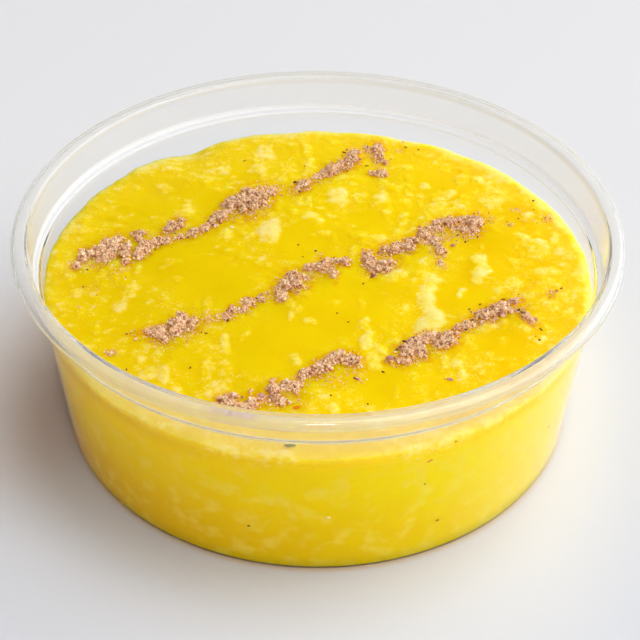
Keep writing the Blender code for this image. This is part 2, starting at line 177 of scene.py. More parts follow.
# Soft pale patches of broken rice, in the same form. A patch's height in mm is also its paleness
RICE_PATCHES = (
    (-11.7, 43.1, 2.5, 2, 0.75, 90), (-2.8, 45.3, 3, 0.9, 0.5, 90), (-1.7, 38.7, 3, 1, 0.5, 90),
    (-20.3, 35.6, 1.5, 1.3, 0.65, 0), (-13.1, 36.4, 1.7, 1.6, 0.65, 30), (-14, 41, 3, 0.6, 0.4, 90),
    (-29.8, 34.8, 2, 0.7, 0.5, 95), (-23.7, 32, 1.1, 0.8, 0.5, 60), (-32.8, 28.7, 1.9, 1.4, 0.5, 110),
    (-42, 28.1, 1.4, 1.1, 0.5, 60), (-38.4, 28.1, 1, 0.7, 0.4, 90), (-8.1, 32.8, 1.4, 1.2, 0.5, 30),
    (-46.2, 21.4, 1.1, 0.7, 0.4, 0), (-43.9, 19.2, 1.5, 0.8, 0.38, 80),
    (-38.4, 18.4, 0.8, 0.6, 0.4, 50), (-33, 16.4, 1.6, 1.1, 0.42, 130),
    (-27, 20.9, 3, 0.8, 0.55, 100), (-28.1, 18.7, 2, 0.6, 0.5, 75), (-47.3, 12.6, 1.5, 1, 0.5, 95),
    (-50, 13.7, 2, 0.8, 0.4, 100), (-18.4, 12.3, 1.8, 1.3, 0.65, 85), (-10, 13.7, 3.6, 1.8, 0.9, 85),
    (-3.7, 23.4, 0.8, 0.7, 0.55, 0), (-1.7, 24.2, 1.9, 0.6, 0.6, 95), (-1.7, 18.7, 1.5, 1.2, 0.6, 20),
    (-7.3, 15.3, 0.6, 0.5, 0.45, 0), (-1.4, 12, 0.7, 0.6, 0.45, 0), (-14.8, 14.5, 1, 0.5, 0.45, 80),
    (-20.3, 8.1, 0.5, 0.4, 0.45, 0), (-21.7, 4.8, 1.2, 0.4, 0.35, 5), (-29.2, 2, 1.6, 1.2, 0.4, 0),
    (-17.3, 2, 1, 0.8, 0.35, 60), (-15.3, 5.3, 1, 0.6, 0.35, 80), (-18.7, 28.7, 0.8, 0.6, 0.35, 20),
    (-3.7, 49, 1.6, 0.8, 0.35, 5), (-18.1, 48.6, 1.6, 0.8, 0.35, 10),
    (-24.2, 38.1, 0.9, 0.6, 0.35, 30), (-27.6, 31.4, 1, 0.5, 0.4, 80),
    (3.9, 26.2, 2.6, 1.6, 0.75, 95), (13.1, 25.9, 2.1, 1.4, 0.65, 85), (8.6, 26.2, 1.8, 1.1, 0.5, 70),
    (13.3, 31.4, 1.8, 1.3, 0.5, 95), (22.5, 30.3, 1.2, 0.9, 0.75, 100),
    (19.4, 37.8, 1.2, 1, 0.55, 60), (26.9, 37.3, 1.4, 1, 0.45, 70), (30, 32.6, 2, 1, 0.45, 85),
    (33.3, 33.1, 1.5, 1.2, 0.42, 60), (39.7, 33.1, 1.5, 0.9, 0.5, 110), (35.6, 38.3, 3, 1, 0.4, -40),
    (27.2, 27, 2, 1, 0.65, 80), (25, 24.2, 1.7, 1.4, 0.6, 45), (36.1, 24.2, 2.5, 1.7, 0.55, 10),
    (44.4, 27.6, 2.5, 1.1, 0.45, 120), (18.6, 24.2, 1.6, 0.6, 0.45, 75),
    (21.1, 23.7, 1.5, 0.6, 0.45, 95), (12.2, 23.1, 1.5, 0.7, 0.5, 60),
    (13.9, 19.8, 0.9, 0.7, 0.6, 20), (17.2, 17.6, 2.5, 0.8, 0.55, 65),
    (16.1, 12.6, 2.5, 0.9, 0.5, 75), (12.2, 10.9, 1.7, 1, 0.55, 25), (1.1, 13.1, 1.3, 1.1, 0.6, 30),
    (0.3, 17.6, 1, 0.9, 0.5, 0), (3.3, 16.4, 0.8, 0.7, 0.35, 0), (41.4, 11.7, 1.7, 1.2, 0.65, 135),
    (43.9, 8.1, 2.6, 1.8, 0.6, 125), (43.3, 5.4, 1.6, 1.3, 0.5, 20), (47.2, 10.9, 3, 0.7, 0.5, 75),
    (31.9, 3.1, 2.6, 1.2, 0.7, 95), (21.1, 3.1, 1.5, 1.3, 0.6, 60), (36.7, 18.1, 1.5, 0.8, 0.5, 60),
    (42.8, 18.7, 1.3, 0.8, 0.55, 70), (47.8, 24.2, 1, 0.5, 0.35, 80), (45, 18.7, 1, 0.8, 0.4, 80),
    (48.3, 16.4, 2.5, 0.8, 0.42, 105), (32.8, 8.1, 1, 0.5, 0.4, 80), (38.3, 3.7, 0.9, 0.8, 0.4, 0),
    (27.8, 20.9, 1, 0.5, 0.5, 90), (0.6, 21.7, 0.9, 0.8, 0.45, 20), (3.3, 19.2, 0.6, 0.5, 0.4, 0),
    (24, 20.5, 1, 0.6, 0.45, 110), (7, 34, 1.6, 0.8, 0.35, 30), (17, 30, 1.2, 0.6, 0.35, 60),
    (33, 20.5, 1.2, 0.7, 0.35, 90), (-46.7, -8.3, 1.3, 1.1, 0.65, 30), (-36.2, -8, 3.1, 1, 0.65, 80),
    (-37.6, -11.9, 1.6, 1.1, 0.65, 70), (-35.3, -0.2, 2, 0.7, 0.5, 80),
    (-42.3, -2.4, 2, 0.8, 0.5, 70), (-40.9, -5.2, 1.5, 0.6, 0.45, 65),
    (-44.8, -1.3, 1, 0.8, 0.45, 20), (-39.2, -4.1, 1.5, 0.5, 0.45, 80),
    (-30.9, 0.1, 0.8, 0.7, 0.4, 0), (-28.1, -3.6, 1.6, 0.8, 0.4, 10),
    (-28.7, -11.1, 1.5, 0.8, 0.35, 80), (-20.9, -11.9, 3, 0.9, 0.45, 85),
    (-20.3, -16.3, 1.3, 1, 0.6, 100), (-17, -23, 2.5, 0.8, 0.7, 100),
    (-13.7, -20.2, 2, 0.6, 0.45, 75), (-5.3, -11.3, 2, 0.8, 0.55, 105), (-4.2, -13, 1.3, 1, 0.55, 20),
    (-5, -14.7, 0.9, 0.5, 0.7, 80), (-1.7, -16.3, 1, 0.8, 0.55, 60), (-2.6, -8, 1, 0.8, 0.4, 60),
    (-30.6, -31.3, 1.6, 1.4, 0.65, 30), (-28.1, -31.9, 2.5, 1.1, 0.7, 100),
    (-32.6, -27.4, 1.5, 0.8, 0.6, 110), (-29.2, -25.8, 1, 0.8, 0.45, 60),
    (-20.3, -29.7, 2.6, 0.6, 0.45, 85), (-18.7, -35.8, 2, 1.4, 0.65, 75),
    (-20.9, -38, 1.1, 1, 0.5, 0), (-11.2, -32.7, 0.8, 0.7, 0.55, 20), (-4.2, -27.4, 1.5, 1, 0.55, 80),
    (-16.4, -31.3, 2, 0.5, 0.4, 70), (-42, -24.1, 1.2, 0.6, 0.5, -30),
    (-38.7, -19.7, 1, 0.8, 0.4, 30), (-44.8, -14.7, 1.2, 0.6, 0.4, 80),
    (-21.4, -24.7, 1, 0.5, 0.4, 80), (-23.1, -11.3, 1.2, 0.6, 0.4, 95),
    (-33.9, -16.9, 1, 0.5, 0.35, 80), (-36, -25, 1.5, 0.8, 0.45, 60), (-25, -36, 1.5, 0.8, 0.45, 130),
    (-48.5, -3, 1.5, 0.8, 0.5, 100), (21.1, -9.7, 4, 1.6, 0.8, 88), (22.2, -14.1, 3, 1.5, 0.9, 95),
    (20.6, -17.4, 2.5, 2, 0.9, 80), (22.2, -2.4, 2, 2, 0.7, 20), (21.1, -6.3, 2.5, 1, 0.7, 85),
    (16.1, -0.8, 2, 1.5, 0.7, 10), (15, -3, 1.5, 1, 0.6, 60), (19.4, -1.3, 1.5, 1, 0.5, 80),
    (31.9, -0.2, 2, 1.5, 0.7, 60), (30.6, -3, 1.5, 1, 0.6, 75), (27.5, -7.4, 1.5, 0.7, 0.7, 80),
    (35.3, -5.8, 1.3, 0.8, 0.65, 110), (38.3, -4.1, 2, 1, 0.5, 75), (45, -0.2, 2.5, 1.4, 0.6, 10),
    (44.4, -3.6, 1.6, 1.4, 0.5, 30), (44.4, -10.8, 1.5, 1.2, 0.65, 40),
    (46.1, -4.5, 0.8, 0.8, 0.5, 0), (48.1, -7.4, 2, 1.2, 0.4, 80), (35, -15.2, 2, 0.8, 0.5, 100),
    (31.7, -17.4, 1.6, 1, 0.6, 30), (38.9, -17.4, 2, 0.7, 0.45, 105), (8.9, -17.4, 2.5, 1, 0.6, 92),
    (9.4, -21.3, 2.5, 1.2, 0.8, 95), (11.4, -23.6, 1.6, 1, 0.7, 110), (10.3, -26.9, 2, 1, 0.6, 85),
    (10.6, -29.1, 1.2, 0.8, 0.6, 10), (3.3, -9.9, 1, 0.6, 0.5, 10), (8.1, -10.5, 2, 0.5, 0.4, 85),
    (22.8, -28, 2.5, 1, 0.5, 85), (25.3, -29.1, 2.5, 1.1, 0.7, 110),
    (26.1, -31.9, 1.3, 0.8, 0.65, 20), (30, -30.2, 2, 0.6, 0.4, 70), (31.9, -25.2, 1, 0.9, 0.35, 0),
    (17.2, -31.9, 1.1, 1, 0.4, 0), (1.1, -38, 2, 1.3, 0.5, 110), (2.8, -41, 1.1, 1, 0.7, 30),
    (14.4, -36.3, 2, 0.5, 0.35, 80), (18.3, -36.9, 1.5, 0.5, 0.35, 15),
    (18.9, -39.1, 1.5, 0.5, 0.35, 20), (47.8, -11.9, 2.5, 0.9, 0.4, 70),
    (34.4, -21.9, 1.5, 0.8, 0.35, 80), (-4, -42.5, 1.5, 0.9, 0.5, 20), (8, -40.5, 1.4, 0.7, 0.4, 0),
    (-10, -44.5, 1.4, 0.8, 0.5, 0), (22, -41.5, 1.3, 0.7, 0.45, 25),
)

# Patches of smooth gel with hardly any rice on them: x, y and radius (mm)
SMOOTH_PATCHES = (
    (-27, 2, 9), (-20, -4, 9), (-3, 10, 7), (5, -12, 10), (-9, -24, 9), (-2, -16, 8), (28, -7, 5.5),
    (34, 9, 5.5), (10, 17, 4.5), (-36, 22, 6), (-22, 24, 4), (12, -35, 5), (34, -22, 4.5),
    (24, 33, 5),
)

# Heaps of ground spice, as ellipses drawn over the picture: x, y, half length and half width
# in pixels, turn from the picture's right in degrees, and height in mm
BACK_STRIPE = (
    (76, 266, 4.5, 3, 30, 0.4), (82.5, 256, 7, 4.5, 60, 0.8), (96, 253, 9, 4.5, 15, 1),
    (107, 248, 16, 8.5, 30, 1.6), (106, 258, 7, 3.5, 0, 0.7), (125.5, 253, 11.5, 6, 97, 1.2),
    (139, 234, 7, 3.2, 5, 0.6), (139, 240, 3.5, 3, 0, 0.4), (145, 248, 8.5, 6.5, 30, 1.2),
    (138, 256, 6, 3, 15, 0.6), (158, 242, 11, 4, 12, 0.9), (171, 227, 9.5, 5.5, 35, 1.1),
    (182, 223, 4.5, 4, 60, 0.7), (180, 236, 5, 2.2, 10, 0.4), (193, 232, 8, 3.5, 12, 0.7),
    (206, 227, 5, 3, 40, 0.6), (216, 218, 9, 6, 45, 1), (231, 203, 10, 6.5, 30, 1.2),
    (250, 198, 19, 12, 25, 2), (270, 190, 6, 4, 20, 0.7), (304, 183, 9.5, 4.5, 28, 0.9),
    (324, 171, 9, 4, 25, 0.7), (334, 166, 11.5, 5.5, 18, 1.2), (353, 155, 9.5, 7.5, 50, 1.5),
    (377.5, 150, 8, 6, 80, 0.9), (383, 160, 4, 2, -20, 0.4), (366, 146, 3, 3, 0, 0.4),
    (379, 171.5, 8, 2.6, -6, 0.6),
)
MIDDLE_STRIPE = (
    (157, 331, 14, 5.5, 8, 1), (163, 338, 5, 4, -45, 0.4), (176, 324, 13, 7.5, 25, 1.3),
    (181, 316, 4, 4, 90, 0.8), (192, 324, 7, 6, -30, 0.6), (248, 300.5, 7.5, 3.8, 8, 0.8),
    (260, 296, 4, 3.5, 30, 0.4), (233, 309, 5, 3.5, -20, 0.4), (225, 317, 5, 3, 0, 0.35),
    (245, 308, 5, 2.6, 20, 0.35), (281, 295, 6, 4.5, 10, 0.6), (279, 286, 4, 3.5, 20, 0.5),
    (293, 280, 14.5, 9.5, 10, 1.5), (312, 265, 6, 3, 20, 0.5), (325, 264, 8.5, 6, 10, 1.1),
    (332, 270, 7.5, 4, -70, 0.9), (338, 261, 6, 3.5, -10, 0.8), (346, 261, 4, 3.6, 90, 0.4),
    (369, 258, 10.5, 6, -72, 1.1), (385, 264, 12, 5.5, 22, 1), (393, 246, 11, 5.5, 15, 1),
    (409, 243, 9.5, 6.5, 15, 1.1), (425, 232, 7.8, 7, 60, 1.2), (438, 226, 8, 5.5, 25, 1),
    (456, 221, 10.5, 5, 5, 1), (475, 222.5, 8.5, 8.5, 0, 1.3), (462, 229, 8, 3, -5, 0.4),
    (437, 245, 12, 3.6, -52, 0.6), (430, 238, 5, 4, 0, 0.5), (442, 263, 4.5, 2.6, -30, 0.5),
)
FRONT_STRIPE = (
    (226, 398, 12.5, 5.5, 8, 0.9), (243, 405, 9, 2.8, -6, 0.5), (254.5, 399, 9.5, 7, 15, 1.2),
    (251, 389, 2.5, 2.5, 0, 0.35), (275, 389, 11, 6.5, 100, 1.1), (284, 399, 6, 3, 15, 0.8),
    (290, 383, 11.5, 4.5, 10, 1), (297, 388, 4, 3.4, 90, 0.5), (306, 371, 7.5, 4, 25, 0.7),
    (321, 364, 11, 6.5, 28, 1.2), (337, 356, 11, 5.8, 12, 1.2), (352, 357, 8.5, 6, -25, 0.8),
    (390, 358, 4, 3.8, 0, 0.9), (402, 360, 6, 3, 0, 0.5), (408, 350, 10, 9, 40, 1.3),
    (421, 351, 8, 5, -40, 0.7), (416, 341, 11, 5, 15, 1.3), (430, 334, 7, 3.5, 0, 0.7),
    (448, 338, 12, 7, 12, 1.1), (436, 342, 6, 4, -30, 0.6), (463, 325, 8.5, 4, 20, 0.9),
    (484, 315, 14, 7, 22, 1.5), (500, 308, 9, 6.5, 20, 1.3), (514, 300.5, 8.5, 3.2, 15, 0.9),
    (508, 311, 5, 3, 0, 0.4), (526, 317, 11.5, 3.8, -35, 0.9),
)
HEAPS = BACK_STRIPE + MIDDLE_STRIPE + FRONT_STRIPE
# A drawn ellipse is taken to lie at this share of the heap's height above its foot
HEAP_FOOT = 31.2 * MM
HEAP_OUTLINE_SHARE = 0.3
HEAP_SINK = 0.25 * MM
HEAP_FLATTENING = 0.40
HEAP_ROUNDNESS = 0.7
HEAP_LUMP_SIZE = 1.3 * MM
HEAP_LUMP_SEED = 301
HEAP_LUMP_MEAN = 0.95
HEAP_LUMP_SWING = 0.3
HEAP_WARP = 0.55 * MM
HEAP_WARP_SIZE = 1.5 * MM
HEAP_WARP_SEEDS = (211, 241)
HEAP_EDGE_FRAY = 1.4
HEAP_FRAY_SIZE = 0.9 * MM
HEAP_FRAY_SEED = 271
HEAP_FRAY_IN_RELIEF = 0.6
COVER_FADE = (0.20, 0.80)
STAIN_FADE = (-3.5, 0.4)

# Thin sprinkles of spice beside the stripes: x, y, spread (mm) and how many crumbs
SPRINKLES = (
    (-47.5, 0.5, 1.6, 46), (-43, 1, 2.4, 58), (-39, -1.5, 2.4, 39), (-42.5, -12.6, 0.5, 9),
    (-45, -13, 0.5, 7), (-44, -7, 2.2, 22), (-33, 10.5, 1.4, 40), (-28.5, 11, 1.8, 39),
    (-23.5, 13.8, 1.3, 32), (-19, 17, 2, 39), (-12, 21, 2.2, 39), (-9, 29, 1.6, 72),
    (-6, 28, 1.6, 32), (0, 32, 1.8, 39), (6, 38, 1.8, 32), (11, 43.5, 1.4, 39), (13, 40.5, 1.2, 32),
    (13, 36.5, 1.2, 40), (17.6, 44.6, 0.7, 24), (18.8, 48, 0.6, 10), (-38, -26, 1, 72),
    (-34.5, -20.5, 1.5, 20), (-29, -22, 2.2, 84), (-25, -20.5, 2.2, 72), (-20.5, -16, 1.8, 78),
    (-17, -14.8, 1.5, 124), (-14, -12.6, 1.4, 98), (-10.8, -9.4, 1.1, 52), (-9.5, -7.5, 1.3, 39),
    (-6, -6, 1.8, 39), (-2.5, -1, 1.4, 58), (1, -0.5, 1.8, 39), (5.5, 2.5, 1.2, 39), (0, 6, 0.9, 16),
    (10.5, 0, 1.4, 46), (12.5, 4.5, 1.5, 46), (14.5, 1.5, 1.2, 40), (17, 6, 1.6, 39),
    (22.5, 9, 1.4, 98), (24.5, 10.5, 1.6, 78), (23.2, 6.2, 1.3, 58), (24, 2.6, 0.8, 45),
    (25.5, 11.8, 1.9, 90), (29.6, 12.6, 1.7, 80), (28, 14.5, 1.8, 52), (31.5, 13.5, 1.4, 46),
    (35, 18, 1.5, 40), (39, 16, 0.7, 26), (41, 21.2, 0.8, 36), (43, 17.5, 1.6, 12),
    (47.2, 18.2, 1.2, 42), (45.3, -7.4, 1.2, 46), (-14, -40, 1.6, 46), (-8, -38.5, 1.6, 52),
    (-3.5, -37.5, 1.8, 39), (-2.5, -32.5, 1.6, 78), (1, -31.5, 1.8, 72), (4, -33, 2, 39),
    (6.5, -30, 1.8, 46), (7.6, -32.6, 0.8, 30), (15, -27.5, 1.5, 46), (18.5, -26.5, 1.6, 39),
    (22, -24.5, 1.6, 40), (28.5, -18, 1.6, 46), (33.5, -16, 1.6, 39), (37.5, -12.5, 1.3, 39),
    (39.5, -11.5, 1, 30),
)
# A sprinkle stains the gel too, fully where it has this many crumbs
FULL_STAIN_COUNT = 100.0
SPRINKLE_STAIN_FADE = (1.6, 0.3)
SPREADS_PER_DEVIATION = 1.5

# Crumbs of the powder: each kind is one joined mesh, with its share of them
SPICE_SHARES = {"pale_spice": 0.38, "pink_spice": 0.33, "brown_spice": 0.24, "dark_spice": 0.05}
CRUMB_SEED = 57
CRUMB_SHAPES = 8
CRUMB_JITTER = 0.34
CRUMB_RADIUS = 0.175 * MM
CRUMB_RADIUS_SPREAD = 0.42
CRUMB_LARGEST = 0.50 * MM
CRUMB_FLATNESS = (1.0, 0.80, 0.60)
CRUMB_UNEVENNESS = (0.8, 1.2)
CRUMB_WALL_GAP = 0.5 * MM
HEAP_CRUMBS = 34000
CRUMBS_TRIED_AT_ONCE = 4 * HEAP_CRUMBS
HEAP_SCATTER = 1.7
# The powder is full where a heap is this near, and thins out outside it
FULL_POWDER = 0.8
EDGE_THINNING = 2.6
# Crumbs lie partly sunk in what they lie on, and are stacked on the heaps, mostly low
CRUMB_RISE = 0.5
CRUMB_SINK = 0.35
STACKING = 0.40 * MM
STACKING_POWER = 1.3
SPRINKLED_FINENESS = 0.75

# Flakes and coarse crumbs, placed one by one. Thickness is a share of the width
FLAKE_SEEDS = {
    "dark_flakes": 71, "green_grey_flakes": 73, "pink_crumbs": 79, "green_sliver": 83,
    "saffron_smears": 89,
}
FLAKE_THICKNESS = 0.5
FLAKE_FINENESS = 0.85
FLAKE_RISE = 0.6
FLAKE_GAP = 0.1 * MM
FLAKE_TILT = 0.25
# Dark specks and flakes that lie apart: x, y, half length, half width (mm) and turn (degrees)
DARK_FLAKES = (
    (10.3, -2.5, 0.42, 0.32, 20), (8.8, -4.3, 0.40, 0.28, 70), (41.8, -18.5, 0.75, 0.26, 115),
    (41.2, -21.7, 0.40, 0.34, 10), (40.6, -20.6, 0.20, 0.16, 10), (-23, -30.2, 0.50, 0.26, 60),
    (-34.5, -30.8, 0.42, 0.24, 100), (-5, 31.3, 0.75, 0.50, 30), (0, 35.4, 0.80, 0.30, 50),
    (10.2, 38, 0.70, 0.30, 10), (5.5, 43.5, 0.70, 0.30, -20), (19, 45.6, 0.60, 0.34, -20),
    (21.7, 44.8, 0.45, 0.28, 30), (44.7, 24.4, 0.38, 0.30, 20), (44.4, 20.8, 0.28, 0.22, 80),
    (41, 18, 0.34, 0.22, 30), (-45, -1.3, 0.45, 0.30, -30), (-16.9, -16.6, 0.55, 0.34, 75),
    (-20.7, -20.2, 0.45, 0.28, 10), (-21.6, -19.9, 0.26, 0.20, 60), (3.7, -13.6, 0.36, 0.26, 30),
    (5.8, -16.3, 0.34, 0.26, 10), (-4, 8.4, 0.36, 0.24, 40), (-3, 4.4, 0.26, 0.20, 10),
    (-0.5, 6.6, 0.50, 0.28, 20), (47, -6, 0.40, 0.28, 20), (2.5, -37.5, 0.42, 0.24, 100),
    (9, -39.3, 0.36, 0.24, 80), (12, -30.7, 0.60, 0.30, -25), (31, -10.9, 0.40, 0.28, 20),
    (35.6, -9, 0.70, 0.26, 15), (38.6, -7.6, 0.24, 0.18, 30), (28.8, -12.5, 0.50, 0.26, 30),
    (-32.4, 10.2, 0.50, 0.26, 30), (-28.8, 11.9, 0.50, 0.22, 20), (-37.6, 7.6, 0.50, 0.34, 40),
    (28.2, 12.2, 0.60, 0.26, 55), (25.8, 15.6, 0.40, 0.34, 10), (29.6, 9.9, 0.40, 0.28, 30),
    (30.2, 10.4, 0.24, 0.20, 30), (27.8, 10.2, 0.20, 0.16, 30), (32.2, 11.6, 0.40, 0.26, 60),
    (13, 6, 0.30, 0.22, 60), (-16, 39.8, 0.60, 0.18, 25), (-3, 37.8, 0.26, 0.20, 30),
    (-15, -40.6, 0.45, 0.30, 10), (-4.6, -4.4, 0.36, 0.28, 30), (23, -32.6, 0.22, 0.16, 30),
)
# Green grey flakes among the crumbs of the front stripe
GREEN_FLAKES = (
    (16.2, -22, 0.80, 0.30, -20), (14.6, -24.2, 0.60, 0.26, 30), (19.8, -23.8, 0.42, 0.26, 40),
    (34, -11.4, 0.60, 0.28, 50), (38.2, -12.6, 0.70, 0.34, 60), (38.9, -13.7, 0.80, 0.36, -40),
    (32, -13.9, 0.80, 0.50, 30), (29.2, -15.6, 0.50, 0.32, 10), (27.8, -18.4, 0.50, 0.30, 20),
    (-0.8, -29.2, 0.45, 0.24, 30), (1.2, -27.6, 0.36, 0.24, 60),
)
# Large purple pink crumbs
PINK_CRUMBS = (
    (27, 8.6, 0.75, 0.45, 20), (13.2, -27.5, 0.80, 0.65, 0), (-13.2, -10, 0.75, 0.50, 20),
    (10.8, -1.9, 0.60, 0.55, 0), (41, -15.6, 0.60, 0.40, 30), (7, -32.6, 0.75, 0.26, -35),
    (23.9, -32.7, 0.70, 0.35, -10), (3, -26.4, 0.75, 0.60, 40), (34.6, -14.2, 0.70, 0.50, 40),
    (-10, -38, 0.75, 0.60, 30),
)

# The green sliver by the front wall, and threads and smears of saffron
GREEN_SLIVERS = ((-4.5, -50.3, 1.6, 0.45, 4),)
SAFFRON_SMEARS = ((-3.5, -40.5, 1.1, 0.5, 10), (-12, -45.5, 0.5, 0.3, 30))
# What shows through the wall: azimuth (degrees), height, half length, half width (mm) and turn
# (degrees)
SIDE_SPECK_HALF_DEPTH = 0.14 * MM
SIDE_SPECK_SHADES = (0.2, 0.8)
SIDE_SPECKS = (
    (-103.5, 11, 0.40, 0.25, 20), (-33, 16, 0.26, 0.18, 0), (-31, 9, 0.22, 0.16, 0),
    (-64.5, 9, 0.34, 0.26, 10), (-68.5, 20.5, 0.24, 0.18, 0), (-23, 19.5, 0.30, 0.24, 0),
    (-63, 29.5, 0.24, 0.18, 0),
)
SIDE_THREADS = ((-68, 26.5, 0.85, 0.16, 22),)
SIDE_PALE_BITS = ((-87.5, 15, 0.50, 0.34, 0),)

# Colours on a screen, from 0 to 255, of the darkest and the palest crumb of each finish
CRUMB_COLOURS = {
    "pale_spice": ((242, 202, 156), (255, 238, 204)),
    "pink_spice": ((234, 186, 146), (252, 218, 182)),
    "brown_spice": ((190, 128, 90), (232, 176, 134)),
    "dark_spice": ((126, 82, 58), (182, 126, 92)),
    "dark_flakes": ((80, 56, 24), (124, 90, 44)),
    "green_grey_flakes": ((72, 66, 44), (112, 98, 68)),
    "pink_crumbs": ((156, 94, 96), (204, 150, 140)),
    "green_sliver": ((110, 122, 0), (138, 146, 0)),
    "saffron_threads": ((206, 96, 6), (228, 130, 14)),
    "rice_grains": ((246, 226, 150), (252, 238, 182)),
}

# Camera: a 90 mm lens on a 36 mm sensor, for a square picture 640 pixels wide. Its distance, in
# metres, and its turns, in radians, lay the tub's rim, step and foot over the picture's
LENS = 90.0
SENSOR = 36.0
PICTURE = 640
CLIP_START = 0.01
CAMERA_DISTANCE = 0.333519
CAMERA_ELEVATION = 0.711436
CAMERA_YAW = -0.0015354
CAMERA_PITCH = 0.0439783
CAMERA_ROLL = -0.0083174

# Bands of the finishes: the two places, in mm, between which each sets in
BANDS = {
    # Up the tub
    "over_foot_edge": (1.0, 6.0), "painted_front_sheen": (30.0, 31.0), "bare_wall": (31.0, 36.0),
    "pale_line": (34.4, 34.6), "over_line": (34.8, 34.95), "over_gap": (35.15, 35.5),
    "over_ledge": (36.0, 36.5), "over_painted_front_sheen": (38.5, 40.0), "rim": (41.0, 42.0),
    # Up the pudding
    "over_foot": (0.0, 4.5), "painted_light_upper_side": (2.0, 24.0), "over_low_side": (3.0, 24.0),
    "top": (25.0, 29.5), "over_painted_light_upper_side": (27.0, 30.2), "painted_shade_top_edge": (28.0, 30.2),
    # Towards the right, then towards the back and away from the middle
    "right": (-50.0, 35.0), "orange_top": (5.0, 40.0), "lit_side": (20.0, 50.0),
    "behind_front_wall": (-45.0, -20.0), "near_wall": (46.0, 52.0),
    # On the floor: towards the back, towards the right and away from the middle
    "back_floor": (-60.0, 120.0), "behind_front_floor": (-20.0, 60.0),
    "behind_shadow": (-50.0, -15.0), "right_floor": (40.0, 75.0), "past_left_floor": (-110.0, -50.0),
    "past_shadow_side": (-60.0, -35.0), "off_shadow": (54.0, 84.0), "off_contact": (50.0, 51.6),
}
# Fades of the finishes: the values of a noise or a mask between which each sets in
FADES = {
    "milky_gel": (0.16, 0.70), "pale_rice": (0.40, 1.05), "rice_flecks_and_glints": (0.60, 0.72),
    "specked_rice": (0.0, 0.5), "side_blotches": (0.46, 0.72), "spice_stain": (0.30, 0.62),
    "powder": (0.3, 0.7), "dry_powder": (0.0, 0.4),
}
# Noises of the finishes: about how many mm across a spot is, and how much detail it has
NOISES = {
    "plastic_waves": (22.0, 1.0), "plastic_haze": (6.0, 2.0), "gel": (7.0, 2.0),
    "mottling": (1.7, 4.0), "fine_mottling": (0.6, 3.0), "rice_flecks_and_glints": (0.42, 1.0),
    "side_blotches": (3.4, 4.0), "spice_stain": (1.4, 2.0), "crumb": (0.25, 2.0),
    "crumb_bumps": (0.12, 2.0),
}
# Tints laid over the pudding and the floor: how strong, and the colour on a screen. Many of them are
# painted light and painted shade
TINTS = {
    "orange_top": (0.30, (236, 176, 0)),
    "painted_light_upper_side": (1.0, (255, 232, 0)),
    "painted_shade_low_left_side": (0.40, (205, 138, 0)),
    "milky_gel": (0.60, (254, 218, 22)),
    "pale_rice": (0.95, (255, 227, 132)),
    "rice_flecks_and_glints": (0.35, (255, 238, 150)),
    "side_blotches": (0.50, (250, 224, 90)),
    "lit_side": (0.45, (255, 228, 132)),
    "painted_shade_top_edge": (1.0, (224, 186, 40)),
    "painted_shade_foot": (0.35, (176, 116, 8)),
    "spice_stain": (0.95, (234, 160, 4)),
    "dim_left_top": (0.18, (48, 46, 0)),
    "bluish_shade_front_right": (1.0, (207, 211, 222)),
    "painted_shade_front_left": (1.0, (208, 206, 207)),
    "brown_shadow": (0.50, (176, 140, 104)),
    "painted_yellow_bounce": (0.50, (230, 196, 110)),
}

FLOOR_RADIUS = 3.0
FLOOR_SIDES = 96
BACKDROP = (214, 215, 218)

# Soft lights, aimed at the origin: azimuth and elevation in degrees, distance, width and length in
# metres, power in watts and colour
LIGHTS = {
    "key_light": (22.0, 39.0, 2.5, (3.6, 1.6), 31.8, (0.97, 0.99, 1.02)),
    "top_light": (30.0, 72.0, 2.2, (1.4, 1.0), 15.3, (0.99, 1.0, 1.01)),
    "front_light": (-40.0, 35.0, 1.6, (1.0, 0.8), 4.9, (1.0, 1.0, 1.0)),
    "low_front_light": (-80.0, 9.0, 1.5, (1.4, 0.3), 1.8, (1.0, 1.0, 1.0)),
    "low_window": (48.0, 6.0, 1.6, (1.6, 0.4), 2.0, (1.0, 1.0, 1.0)),
    "overhead_window": (-88.0, 68.0, 1.6, (0.18, 0.10), 3.8, (1.0, 1.0, 1.0)),
    "warm_fill": (212.0, 7.0, 1.3, (1.2, 0.3), 2.2, (1.0, 0.70, 0.38)),
}
# The room is brightest towards the upper right and dark and warm at the lower left
BRIGHT_SIDE = (0.85, 0.20, 0.45)
ROOM_STOPS = (
    (0.0, (0.02, 0.012, 0.006, 1.0)),
    (0.4, (0.06, 0.05, 0.04, 1.0)),
    (0.65, (0.22, 0.215, 0.21, 1.0)),
    (0.85, (0.48, 0.48, 0.485, 1.0)),
    (1.0, (0.70, 0.70, 0.71, 1.0)),
)


# Shader tools

def set_stops(ramp, stops):
    while len(ramp.elements) < len(stops):
        ramp.elements.new(1.0)
    for element, (place, colour) in zip(ramp.elements, stops):
        element.position = place
        element.color = colour


class Channel:
    """A socket's value in a node tree. Python's operators on it add Math nodes."""

    def __init__(self, nodes, socket):
        self.nodes = nodes
        self.socket = socket

    def math(self, operation, first, second=0.0):
        return self.nodes.add("ShaderNodeMath", {"operation": operation}, {0: first, 1: second})

    def __add__(self, other):
        return self.math("ADD", self, other)

    __radd__ = __add__

    def __sub__(self, other):
        return self.math("SUBTRACT", self, other)

    def __rsub__(self, other):
        return self.math("SUBTRACT", other, self)

    def __mul__(self, other):
        return self.math("MULTIPLY", self, other)

    __rmul__ = __mul__

    def __pow__(self, other):
        return self.math("POWER", self, other)


